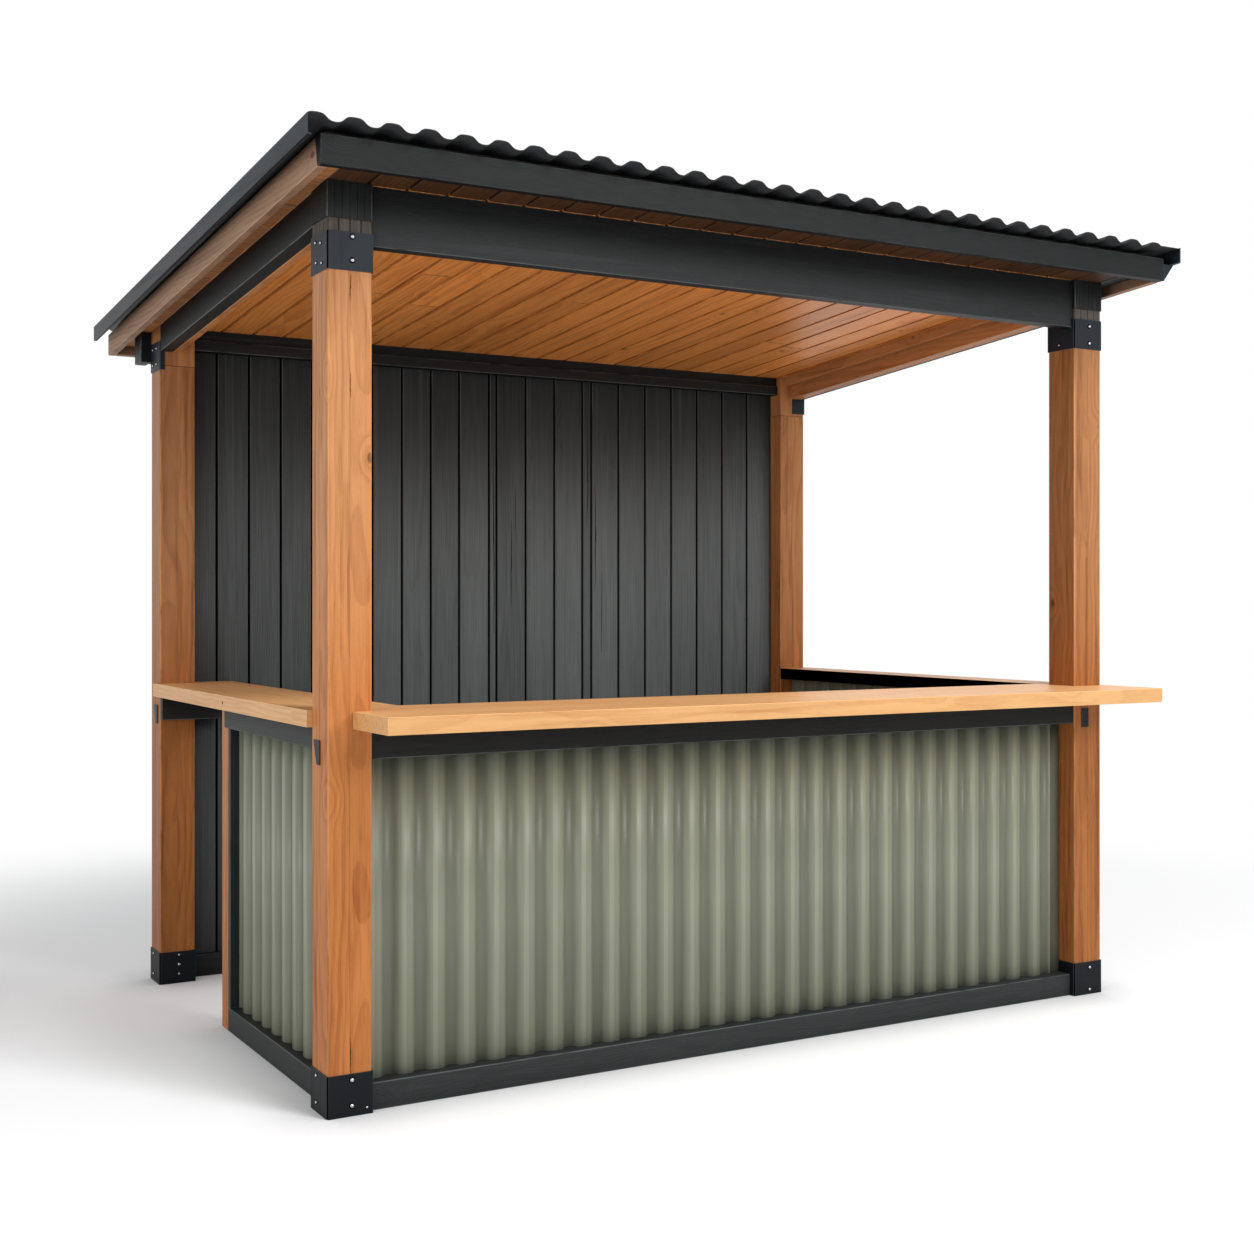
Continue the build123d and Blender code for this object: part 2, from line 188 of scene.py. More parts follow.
class Joinery:
    """Gathers boards, plates and fixings into one mesh.

    Every face knows how its grain lies, how light or dark its board is, with painted light and shade
    on the counters and wavy sheets, and how worn its edge is.
    """

    def __init__(self, seed):
        self.mesh = bmesh.new()
        self.grain = self.mesh.loops.layers.float_vector.new("grain_place")
        self.tint = self.mesh.faces.layers.float.new("tone_and_painted_light")
        self.wear = self.mesh.faces.layers.float.new("edge_wear")
        self.dice = random.Random(seed)

    def pith(self):
        """Where the heart of the log lay beside one board, and how far up the log it was cut."""
        angle = self.dice.uniform(0.0, math.tau)
        reach = self.dice.uniform(0.05, 0.16)
        return Vector((reach * math.cos(angle), reach * math.sin(angle), self.dice.uniform(0, 40)))

    def add(self, part, along, tint=None, move=None, material=0, smooth=False):
        """Copies a finished small mesh in, with its grain running along one axis.

        The tint is one number, or a function that works it out from the middle of a face.
        """
        pith = self.pith()
        tint = self.dice.uniform(-1.0, 1.0) if tint is None else tint
        across, up, length = ALONG[along]
        worn = part.faces.layers.float.get("worn")
        points = {}
        for vert in part.verts:
            points[vert] = self.mesh.verts.new(move(vert.co) if move else vert.co)
        centre = sum((v.co for v in part.verts), Vector()) / len(part.verts)
        for face in part.faces:
            copy = self.mesh.faces.new([points[v] for v in face.verts])
            copy.material_index = material
            copy.smooth = smooth or face.smooth
            copy[self.tint] = tint(face.calc_center_median()) if callable(tint) else tint
            copy[self.wear] = face[worn] if worn else 0.0
            for loop, corner in zip(copy.loops, face.loops):
                place = corner.vert.co - centre
                loop[self.grain] = Vector((place[across], place[up], place[length])) + pith
        part.free()

    def board(self, low, high, along, edge, **how):
        """One board between two corners, with its edges eased."""
        part = bmesh.new()
        bmesh.ops.create_cube(part, size=1.0)
        for vert in part.verts:
            for axis in range(3):
                vert.co[axis] = low[axis] if vert.co[axis] < 0 else high[axis]
        ease_edges(part, edge)
        self.add(part, along, **how)

    def node(self, name, along, edge, **how):
        """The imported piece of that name, with its edges eased."""
        part = packed_piece(name)
        ease_edges(part, edge)
        self.add(part, along, **how)

    def sawn_node(self, name, along, cuts, edge, **how):
        """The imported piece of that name, sawn into boards at the given places along each axis."""
        cells = [()]
        for axis, places in cuts:
            limits = [None, *places, None]
            spans = list(zip(limits, limits[1:]))
            cells = [cell + ((axis, start, end),) for cell in cells for start, end in spans]
        for cell in cells:
            part = packed_piece(name)
            for axis, start, end in cell:
                saw_off(part, axis, start, -1.0)
                saw_off(part, axis, end, 1.0)
            if part.faces:
                ease_edges(part, edge)
                self.add(part, along, **how)

    def finish(self, name, materials, slot, stands_for=()):
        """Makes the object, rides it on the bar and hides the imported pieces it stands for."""
        data = bpy.data.meshes.new(name)
        bmesh.ops.recalc_face_normals(self.mesh, faces=self.mesh.faces)
        self.mesh.to_mesh(data)
        self.mesh.free()
        for material in materials:
            data.materials.append(material)
        piece = bpy.data.objects.new(name, data)
        bpy.context.scene.collection.objects.link(piece)
        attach(piece, "root")
        if stands_for:
            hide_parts(*stands_for)
        return piece


def packed_piece(name):
    """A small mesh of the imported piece, with flat faces made whole again."""
    part = bmesh.new()
    part.from_mesh(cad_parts[name].data)
    bmesh.ops.remove_doubles(part, verts=part.verts, dist=1e-5)
    flat = math.radians(1.0)
    bmesh.ops.dissolve_limit(part, angle_limit=flat, verts=part.verts, edges=part.edges)
    for face in part.faces:
        face.smooth = False
    return part


def saw_off(part, axis, place, toward):
    """Takes away what lies past a place along an axis, and closes the cut."""
    if place is None:
        return
    point = Vector((0.0, 0.0, 0.0))
    normal = Vector((0.0, 0.0, 0.0))
    point[axis] = place
    normal[axis] = toward
    everything = part.verts[:] + part.edges[:] + part.faces[:]
    made = bmesh.ops.bisect_plane(
        part, geom=everything, plane_co=point, plane_no=normal, clear_outer=True
    )
    rim = [item for item in made["geom_cut"] if isinstance(item, bmesh.types.BMEdge)]
    bmesh.ops.holes_fill(part, edges=rim, sides=0)


def ease_edges(part, edge):
    """Rounds the sharp edges and marks the narrow new faces as worn."""
    worn = part.faces.layers.float.new("worn")
    if edge <= 0:
        return
    sharp = [e for e in part.edges if len(e.link_faces) == 2 and e.calc_face_angle(0) > 0.5]
    made = bmesh.ops.bevel(
        part,
        geom=sharp,
        offset=edge,
        segments=2,
        profile=0.5,
        affect="EDGES",
        clamp_overlap=True,
    )
    for face in made["faces"]:
        face[worn] = 1.0
        face.smooth = True


def extruded(outline, start, end, axis="z"):
    """A closed solid from an outline of two-number points, run from start to end along an axis."""
    across, up, length = ALONG[axis]
    part = bmesh.new()
    rings = []
    for place in (start, end):
        ring = []
        for a, b in outline:
            point = [0.0, 0.0, 0.0]
            point[across], point[up], point[length] = a, b, place
            ring.append(part.verts.new(point))
        rings.append(ring)
    count = len(outline)
    for index in range(count):
        after = (index + 1) % count
        part.faces.new((rings[0][index], rings[0][after], rings[1][after], rings[1][index]))
    part.faces.new(rings[0])
    part.faces.new(list(reversed(rings[1])))
    return part


def wave_share(turn, bias, steepness):
    """Height of wavy metal from 0 in a trough to 1 on a crest, at a turn counted from a crest."""
    crest = math.tanh(steepness * (1.0 + bias))
    trough = math.tanh(steepness * (bias - 1.0))
    here = math.tanh(steepness * (math.cos(math.tau * turn) + bias))
    return (here - trough) / (crest - trough)


def wavy_sheet(line, thickness, ends, place):
    """A closed sheet over a line of (along, out) points. place puts a point at one of two ends."""
    part = bmesh.new()
    outline = line + [(a, b + thickness) for a, b in reversed(line)]
    rings = [[part.verts.new(place(a, b, end)) for a, b in outline] for end in ends]
    count = len(outline)
    for index in range(count):
        after = (index + 1) % count
        face = (rings[0][index], rings[0][after], rings[1][after], rings[1][index])
        part.faces.new(face).smooth = True
    for ring in rings:
        for index in range(count // 2 - 1):
            mirror = count - 1 - index
            part.faces.new((ring[index], ring[index + 1], ring[mirror - 1], ring[mirror]))
    return part


def shake(work, x, face_y, low_z, high_z, width, material):
    """A thin dark split that wanders up a board, a hair proud of its face."""
    steps = 16
    near = []
    far = []
    drift = 0.0
    for index in range(steps + 1):
        share = index / steps
        drift += work.dice.uniform(-0.35, 0.35) * width
        half = width * (0.08 + 0.42 * math.sin(math.pi * share)) * work.dice.uniform(0.55, 1.0)
        z = low_z + (high_z - low_z) * share
        near.append((z, x + drift - half))
        far.append((z, x + drift + half))
    part = extruded(near + far[::-1], face_y - 0.0004, face_y + 0.003, axis="y")
    work.add(part, "z", tint=-1.0, material=material)


# Materials


def attribute(tree, name, output):
    """What a face or corner knows of itself, such as its tint or where its grain lies."""
    node = tree.nodes.new("ShaderNodeAttribute")
    node.attribute_name = name
    return node.outputs[output]


def along_bar(tree, axis):
    """How far a point lies along one axis of the bar, in metres."""
    node = tree.nodes.new("ShaderNodeSeparateXYZ")
    put(tree, node.inputs[0], tree.nodes.new("ShaderNodeTexCoord").outputs["Object"])
    return node.outputs[axis]


def put(tree, socket, value):
    """Links another node's output into an input, or sets the input to a plain value."""
    if isinstance(value, bpy.types.NodeSocket):
        tree.links.new(value, socket)
    elif socket.type == "RGBA" and len(value) == 3:
        socket.default_value = (*value, 1.0)
    else:
        socket.default_value = value


def worked_out(tree, kind, operation, *values):
    """A Math or VectorMath node with its inputs filled in order."""
    node = tree.nodes.new(kind)
    node.operation = operation
    for socket, value in zip(node.inputs, values):
        put(tree, socket, value)
    return node.outputs[0]


def sums(tree, operation, a, b=0.0, c=0.0):
    """One sum on numbers."""
    return worked_out(tree, "ShaderNodeMath", operation, a, b, c)


def vector_sums(tree, operation, a, b):
    """One sum on vectors."""
    return worked_out(tree, "ShaderNodeVectorMath", operation, a, b)


def length_in(tree, vector):
    """The length of a vector."""
    node = tree.nodes.new("ShaderNodeVectorMath")
    node.operation = "LENGTH"
    put(tree, node.inputs[0], vector)
    return node.outputs["Value"]


def noise_of(tree, vector, scale, detail, roughness=0.55, distortion=0.0, output="Fac"):
    """Soft noise with a size of its own along each axis, in turns a metre."""
    node = tree.nodes.new("ShaderNodeTexNoise")
    put(tree, node.inputs["Vector"], vector_sums(tree, "MULTIPLY", vector, scale))
    node.inputs["Scale"].default_value = 1.0
    node.inputs["Detail"].default_value = detail
    node.inputs["Roughness"].default_value = roughness
    node.inputs["Distortion"].default_value = distortion
    return node.outputs[output]


def ramp_of(tree, value, low, high, to_low=0.0, to_high=1.0):
    """A smooth step from low to high."""
    node = tree.nodes.new("ShaderNodeMapRange")
    node.interpolation_type = "SMOOTHSTEP"
    for name, number in zip(("Value", "From Min", "From Max"), (value, low, high)):
        put(tree, node.inputs[name], number)
    node.inputs["To Min"].default_value = to_low
    node.inputs["To Max"].default_value = to_high
    return node.outputs["Result"]


def blend(tree, factor, a, b, how="MIX"):
    """A colour between two others, or the product of the two."""
    node = tree.nodes.new("ShaderNodeMix")
    node.data_type = "RGBA"
    node.blend_type = how
    put(tree, node.inputs[0], factor)
    put(tree, node.inputs[6], a)
    put(tree, node.inputs[7], b)
    return node.outputs[2]


def scaled_colour(tree, colour, factor):
    """A colour made lighter or darker by a number."""
    grey = tree.nodes.new("ShaderNodeCombineXYZ")
    for socket in grey.inputs:
        put(tree, socket, factor)
    return blend(tree, 1.0, colour, grey.outputs[0], how="MULTIPLY")


def toned(colour, share, lift=0.0):
    """A plain colour made lighter or darker."""
    return tuple(min(1.0, share * part + lift) for part in colour)


def bumped(tree, height, strength, distance):
    """A fine relief in the finish."""
    node = tree.nodes.new("ShaderNodeBump")
    put(tree, node.inputs["Height"], height)
    node.inputs["Strength"].default_value = strength
    node.inputs["Distance"].default_value = distance
    return node.outputs["Normal"]


def new_material(name):
    """An empty finish: its material, its node tree and its shader."""
    material = bpy.data.materials.new(name)
    material.use_nodes = True
    tree = material.node_tree
    return material, tree, tree.nodes["Principled BSDF"]


def grain_signals(tree, ring_width):
    """The rings, fibres, pores, streaks and knots of sawn timber, from where its grain lies."""
    place = attribute(tree, "grain_place", "Vector")
    drift = noise_of(tree, place, (5.0, 5.0, 1.8), detail=2.5, roughness=0.5, output="Color")
    sway = vector_sums(tree, "SUBTRACT", drift, (0.5, 0.5, 0.5))
    sway = vector_sums(tree, "MULTIPLY", sway, (0.075, 0.075, 0.0))
    bent = vector_sums(tree, "ADD", place, sway)
    from_pith = length_in(tree, vector_sums(tree, "MULTIPLY", bent, (1.0, 1.0, 0.0)))
    cells = tree.nodes.new("ShaderNodeTexVoronoi")
    put(tree, cells.inputs["Vector"], vector_sums(tree, "MULTIPLY", place, (5.5, 5.5, 3.0)))
    cells.inputs["Scale"].default_value = 1.0
    near_knot = ramp_of(tree, cells.outputs["Distance"], 0.0, 0.26, 1.0, 0.0)
    knot = ramp_of(tree, cells.outputs["Distance"], 0.03, 0.065, 1.0, 0.0)
    swollen = sums(tree, "MULTIPLY_ADD", near_knot, 0.03, from_pith)
    turns = sums(tree, "MULTIPLY", swollen, 1.0 / ring_width)
    saw = sums(tree, "FRACT", turns)
    rise = ramp_of(tree, saw, 0.25, 0.92)
    fall = ramp_of(tree, saw, 0.93, 1.0, 1.0, 0.0)
    rings = sums(tree, "MULTIPLY", rise, fall)
    fibres = noise_of(tree, place, (420.0, 420.0, 7.0), detail=4.0, roughness=0.6)
    pores = ramp_of(tree, noise_of(tree, place, (1100.0, 1100.0, 26.0), 2.0), 0.64, 0.72)
    streaks = noise_of(tree, place, (32.0, 32.0, 1.1), detail=3.0, distortion=0.6)
    clouds = noise_of(tree, place, (7.0, 7.0, 1.6), detail=2.0)
    mottle = noise_of(tree, place, (24.0, 24.0, 5.5), detail=4.0, roughness=0.6, distortion=1.3)
    split_lines = noise_of(tree, place, (75.0, 75.0, 3.2), detail=3.0, distortion=0.5)
    checks = ramp_of(tree, split_lines, 0.735, 0.76)
    return {
        "place": place,
        "rings": rings,
        "fibres": fibres,
        "pores": pores,
        "streaks": streaks,
        "clouds": clouds,
        "mottle": mottle,
        "checks": checks,
        "knot": knot,
    }


def edge_wear(tree, place, low, high):
    """How worn a rounded edge is, in patches along it."""
    patches = ramp_of(tree, noise_of(tree, place, (60.0, 60.0, 9.0), 4.0), low, high)
    return sums(tree, "MULTIPLY", attribute(tree, "edge_wear", "Fac"), patches)


def cedar_material(
    name,
    pale,
    deep,
    roughness=0.45,
    contrast=1.0,
    darker_foot=False,
    variety=0.12,
    gloss=0.2,
    rub=0.5,
    dirt_and_painted_shade=None,
):
    """Oiled softwood: soft ring figure, mottle, fibres, small pores, a few knots, rubbed edges.

    A rub above 0 rubs the edges pale, and one below 0 leaves them dark. dirt_and_painted_shade is what
    painted_corner_shade takes, for painted shade in corners and under ledges.
    """
    material, tree, shader = new_material(name)
    grain = grain_signals(tree, ring_width=0.016)
    figure = sums(tree, "MULTIPLY", grain["rings"], 0.26 * contrast)
    figure = sums(tree, "MULTIPLY_ADD", ramp_of(tree, grain["streaks"], 0.45, 0.8), 0.6, figure)
    figure = sums(tree, "MULTIPLY_ADD", ramp_of(tree, grain["fibres"], 0.35, 0.75), 0.22, figure)
    figure = sums(tree, "MULTIPLY_ADD", grain["clouds"], 0.5, figure)
    figure = sums(tree, "MULTIPLY_ADD", grain["mottle"], 0.5 * contrast, figure)
    figure = sums(tree, "SUBTRACT", figure, 0.46)
    if darker_foot:
        height = along_bar(tree, "Z")
        figure = sums(tree, "ADD", figure, ramp_of(tree, height, 1.8, 0.5, 0.0, 0.16))
    colour = blend(tree, figure, pale, deep)
    if darker_foot:
        rich_pale, rich_deep = ((c[0], 0.84 * c[1], 0.60 * c[2]) for c in (pale, deep))
        richer = blend(tree, figure, rich_pale, rich_deep)
        colour = blend(tree, ramp_of(tree, height, 1.65, 0.85), colour, richer)
    glint = ramp_of(tree, grain["mottle"], 0.38, 0.2, 0.0, 0.22)
    colour = blend(tree, glint, colour, toned(pale, 1.18, 0.015))
    dark = toned(deep, 0.36)
    colour = blend(tree, sums(tree, "MULTIPLY", grain["pores"], 0.35), colour, dark)
    colour = blend(tree, sums(tree, "MULTIPLY", grain["checks"], 0.8), colour, dark)
    colour = blend(tree, sums(tree, "MULTIPLY", grain["knot"], 0.8), colour, dark)
    # Board tone, and on the counters painted light on top and painted shade round the edges
    shade = sums(tree, "MULTIPLY_ADD", attribute(tree, "tone_and_painted_light", "Fac"), variety, 1.0)
    colour = scaled_colour(tree, colour, shade)
    rubbed = toned(pale, 1.22, 0.02) if rub > 0 else dark
    worn = sums(tree, "MULTIPLY", edge_wear(tree, grain["place"], 0.3, 0.55), abs(rub))
    colour = blend(tree, worn, colour, rubbed)
    # Painted shade in corners and under ledges, such as the barge's top under the flashing
    if dirt_and_painted_shade:
        colour = scaled_colour(tree, colour, painted_corner_shade(tree, *dirt_and_painted_shade))
    put(tree, shader.inputs["Base Color"], colour)
    shader.inputs["Specular IOR Level"].default_value = gloss
    rough = sums(tree, "MULTIPLY_ADD", grain["fibres"], 0.22, roughness - 0.11)
    put(tree, shader.inputs["Roughness"], sums(tree, "MULTIPLY_ADD", grain["rings"], 0.06, rough))
    relief = sums(tree, "MULTIPLY_ADD", grain["rings"], -0.35, grain["fibres"])
    relief = sums(tree, "MULTIPLY_ADD", grain["pores"], -0.8, relief)
    relief = sums(tree, "MULTIPLY_ADD", grain["checks"], -2.0, relief)
    put(tree, shader.inputs["Normal"], bumped(tree, relief, 0.35, 0.0006))
    return material


# More rays make smoother painted shade and slower renders
PAINTED_SHADE_RAYS = 3


def painted_corner_shade(tree, reach, darkest, closed=0.15, open_at=0.85):
    """Painted shade: 1 in the open, and darker in corners and under ledges, where shade falls."""
    node = tree.nodes.new("ShaderNodeAmbientOcclusion")
    node.samples = PAINTED_SHADE_RAYS
    node.inputs["Distance"].default_value = reach
    return ramp_of(tree, node.outputs["AO"], closed, open_at, darkest, 1.0)


def painted_wall_light_share(tree):
    """Painted light: 0 up under the ceiling and at the left, where shade falls, and 1 lower down and
    at the right, where light falls.
    """
    lower = ramp_of(tree, along_bar(tree, "Z"), 2.25, 1.45)
    to_right = ramp_of(tree, along_bar(tree, "X"), LEFT, RIGHT, 0.45, 1.0)
    return sums(tree, "MULTIPLY", lower, to_right)


def stained_material(
    name,
    colour,
    worn,
    roughness=0.5,
    grain_share=0.35,
    painted_wall_light=False,
    gloss=0.12,
    dirt_and_painted_shade=(0.10, 0.4),
):
    """Dark stained timber: the grain stands in faint relief and the edges have rubbed lighter,
    partly as a painted highlight along them.

    dirt_and_painted_shade is what painted_corner_shade takes, for painted shade in corners and under
    ledges.
    """
    material, tree, shader = new_material(name)
    grain = grain_signals(tree, ring_width=0.007)
    light = sums(tree, "MULTIPLY_ADD", ramp_of(tree, grain["fibres"], 0.3, 0.8), grain_share, 0.82)
    light = sums(tree, "MULTIPLY_ADD", grain["rings"], -0.3 * grain_share, light)
    light = sums(tree, "MULTIPLY_ADD", grain["clouds"], 0.35, sums(tree, "SUBTRACT", light, 0.17))
    light = sums(tree, "MULTIPLY_ADD", grain["mottle"], grain_share, light)
    light = sums(tree, "SUBTRACT", light, 0.5 * grain_share)
    light = sums(tree, "MULTIPLY_ADD", attribute(tree, "tone_and_painted_light", "Fac"), 0.12, light)
    # Painted light and shade on the wall: darker under the ceiling and at the left, lighter lower down
    # and at the right
    if painted_wall_light:
        painted_light_gain = ramp_of(tree, painted_wall_light_share(tree), 0.0, 1.0, 0.5, 1.75)
        light = sums(tree, "MULTIPLY", light, painted_light_gain)
    # Painted shade in corners and under ledges
    light = sums(tree, "MULTIPLY", light, painted_corner_shade(tree, *dirt_and_painted_shade))
    base = scaled_colour(tree, colour, light)
    streaked = ramp_of(tree, grain["streaks"], 0.55, 0.8, 0.0, 0.35)
    base = blend(tree, streaked, base, toned(colour, 0.6))
    pale_streaks = ramp_of(tree, grain["streaks"], 0.42, 0.25, 0.0, 0.3)
    base = blend(tree, pale_streaks, base, toned(colour, 1.35))
    # Rubbed lighter edges, partly a painted highlight where the eased edges catch the light
    wear = edge_wear(tree, grain["place"], 0.3, 0.5)
    base = blend(tree, sums(tree, "MULTIPLY", wear, 0.7), base, worn)
    put(tree, shader.inputs["Base Color"], base)
    shader.inputs["Specular IOR Level"].default_value = gloss
    rough = sums(tree, "MULTIPLY_ADD", grain["fibres"], 0.25, roughness - 0.12)
    put(tree, shader.inputs["Roughness"], rough)
    relief = sums(tree, "MULTIPLY_ADD", grain["rings"], -0.5, grain["fibres"])
    relief = sums(tree, "MULTIPLY_ADD", grain["pores"], -0.6, relief)
    put(tree, shader.inputs["Normal"], bumped(tree, relief, 0.45, 0.0006))
    return material


def coated_metal(
    name,
    colour,
    worn,
    roughness,
    speckle=0.12,
    dirt_and_painted_shade=0.18,
    painted_wave_light=0.0,
    gloss=0.15,
    darkest=0.45,
    painted_lit_foot=False,
):
    """Coated sheet or plate: faint mottle, fine orange peel, dirty runs, painted shade in the troughs
    and painted light on the crests.

    Darkest is how dark the painted shade in its corners gets, and 1 leaves them without it.
    """
    material, tree, shader = new_material(name)
    place = attribute(tree, "grain_place", "Vector")
    mottle = noise_of(tree, place, (9.0, 9.0, 3.0), 3.0)
    fine = noise_of(tree, place, (260.0, 260.0, 260.0), 2.0)
    runs = noise_of(tree, place, (55.0, 55.0, 1.4), 3.0)
    light = sums(tree, "MULTIPLY_ADD", mottle, speckle, 1.0 - speckle / 2)
    # Painted shade down in the troughs and painted light up on the crests of wavy sheets
    light = sums(tree, "MULTIPLY_ADD", attribute(tree, "tone_and_painted_light", "Fac"), painted_wave_light, light)
    # Painted shade in corners and under ledges
    if darkest < 1.0:
        light = sums(tree, "MULTIPLY", light, painted_corner_shade(tree, 0.05, darkest))
    # Painted light: paler towards the foot, lifting the shade that falls low on the sheet
    if painted_lit_foot:
        painted_foot_light = ramp_of(tree, along_bar(tree, "Z"), 0.40, 0.06, 1.0, 1.3)
        light = sums(tree, "MULTIPLY", light, painted_foot_light)
    base = scaled_colour(tree, colour, light)
    dirt = sums(tree, "MULTIPLY", ramp_of(tree, runs, 0.5, 0.78), dirt_and_painted_shade)
    base = blend(tree, dirt, base, toned(colour, 0.55))
    base = blend(tree, sums(tree, "MULTIPLY", edge_wear(tree, place, 0.2, 0.45), 0.6), base, worn)
    put(tree, shader.inputs["Base Color"], base)
    shader.inputs["Specular IOR Level"].default_value = gloss
    rough = sums(tree, "MULTIPLY_ADD", mottle, 0.2, roughness - 0.1)
    put(tree, shader.inputs["Roughness"], sums(tree, "MULTIPLY_ADD", dirt, 0.4, rough))
    put(tree, shader.inputs["Normal"], bumped(tree, fine, 0.12, 0.0003))
    return material


def bolt_material(name, colour):
    """Bright plated steel with a little dull zinc bloom."""
    material, tree, shader = new_material(name)
    place = attribute(tree, "grain_place", "Vector")
    bloom = noise_of(tree, place, (420.0, 420.0, 420.0), 3.0)
    shade = ramp_of(tree, bloom, 0.2, 0.8, 0.75, 1.1)
    put(tree, shader.inputs["Base Color"], scaled_colour(tree, colour, shade))
    shader.inputs["Metallic"].default_value = 1.0
    put(tree, shader.inputs["Roughness"], ramp_of(tree, bloom, 0.3, 0.7, 0.22, 0.42))
    put(tree, shader.inputs["Normal"], bumped(tree, bloom, 0.1, 0.0002))
    return material


# How dark these are, as shares of the eaves cedar, the charcoal stain and the fittings' coating
# The overhang's share is painted shade under the front overhang
OVERHANG_PAINTED_SHADE = 0.17
FASCIA_SHADE = 0.30
SHOE_SHADE = 0.36

MADE = {}


def finishes():
    """All the bar's finishes, made once from the colours in the sidebar."""
    if MADE:
        return MADE
    look = bpy.context.scene.garden_bar_finishes
    pale = tuple(look.cedar_pale)
    deep = tuple(look.cedar_deep)
    charcoal = tuple(look.charcoal)
    rubbed = tuple(look.charcoal_rubbed_and_lit)
    MADE["cedar"] = cedar_material("Oiled cedar", pale, deep, darker_foot=True)
    # Painted shadow darkens the top of the barge boards under the flashing
    MADE["barge"] = cedar_material(
        "Barge cedar",
        tuple(look.barge_pale),
        tuple(look.barge_deep),
        roughness=0.55,
        dirt_and_painted_shade=(0.10, 0.30, 0.3, 0.75),
    )
    # The eaves cedar darkened as painted shade under the front overhang
    MADE["overhang"] = cedar_material(
        "Overhang cedar",
        toned(look.eaves_pale, OVERHANG_PAINTED_SHADE),
        toned(look.eaves_deep, OVERHANG_PAINTED_SHADE),
        roughness=0.6,
    )
    MADE["eaves"] = cedar_material(
        "Eaves cedar", tuple(look.eaves_pale), tuple(look.eaves_deep), roughness=0.5
    )
    MADE["ceiling"] = cedar_material(
        "Ceiling cedar",
        tuple(look.ceiling_pale),
        tuple(look.ceiling_deep),
        roughness=0.34,
        contrast=1.15,
        variety=0.17,
        gloss=0.3,
        rub=-0.7,
    )
    MADE["counter"] = cedar_material(
        "Counter timber",
        tuple(look.counter_pale),
        tuple(look.counter_deep),
        roughness=0.36,
        contrast=0.8,
        variety=0.16,
    )
    # Every stained finish has painted shade in its corners and under ledges
    MADE["charcoal"] = stained_material("Charcoal timber", charcoal, rubbed)
    MADE["fascia"] = stained_material(
        "Charcoal fascia", toned(charcoal, FASCIA_SHADE), toned(rubbed, 0.4)
    )
    # Charcoal with deeper painted shade, for what lies under the roof and the counters
    MADE["sheltered"] = stained_material(
        "Charcoal with painted shade", charcoal, rubbed, dirt_and_painted_shade=(0.22, 0.10, 0.46, 0.96)
    )
    # The wall boards carry painted light and shade across the wall, and deeper painted shade under the
    # ceiling
    MADE["charcoal_boards"] = stained_material(
        "Charcoal wall boards",
        tuple(look.wall_charcoal),
        rubbed,
        roughness=0.42,
        grain_share=0.4,
        painted_wall_light=True,
        dirt_and_painted_shade=(0.30, 0.30, 0.4, 0.9),
    )
    MADE["weathered"] = stained_material(
        "Weathered post top", tuple(look.weathered), tuple(look.weathered), 0.7, 0.8
    )
    MADE["sawn"] = stained_material("Sawn batten", (0.03, 0.027, 0.024), (0.08, 0.07, 0.06), 0.8, 0.8)
    # Painted shade in the troughs, a painted highlight on the crests and painted light towards the
    # foot
    MADE["sage"] = coated_metal(
        "Sage sheet",
        tuple(look.sage),
        (0.42, 0.44, 0.38),
        0.36,
        painted_wave_light=0.26,
        gloss=0.25,
        darkest=1.0,
        painted_lit_foot=True,
    )
    # Painted shade in the troughs and corners, and painted light on the crests
    MADE["roof"] = coated_metal(
        "Roof sheet", tuple(look.roof), (0.09, 0.09, 0.09), 0.4, 0.3, 0.3, painted_wave_light=0.35
    )
    # The flashing, fittings and shoes have painted shade in their corners
    MADE["flashing"] = coated_metal(
        "Flashing", tuple(look.flashing), (0.10, 0.12, 0.14), 0.4, gloss=0.08
    )
    MADE["fittings"] = coated_metal("Fittings", tuple(look.fittings), (0.09, 0.11, 0.13), 0.45, 0.3)
    MADE["shoes"] = coated_metal(
        "Shoe plates", toned(look.fittings, SHOE_SHADE), (0.07, 0.08, 0.095), 0.5, 0.3
    )
    MADE["bolts"] = bolt_material("Bolt steel", (0.55, 0.56, 0.58))
    gap = tuple(look.shadow_gap)
    MADE["dark_gap"] = stained_material("Shadow gap", gap, gap, 0.8, gloss=0.0)
    MADE["brown_gap"] = stained_material("Brown gap", (0.03, 0.011, 0.003), (0.05, 0.02, 0.006), 0.8)
    return MADE


# Sizes and colours in the sidebar


def colour_of(name, description, default):
    """A colour in the sidebar."""
    return bpy.props.FloatVectorProperty(
        name=name,
        description=description,
        default=default,
        subtype="COLOR",
        size=3,
        min=0.0,
        max=1.0,
    )


def length_of(name, description, default):
    """A size in the sidebar."""
    return bpy.props.FloatProperty(
        name=name, description=description, default=default, unit="LENGTH", precision=4, min=0.0
    )


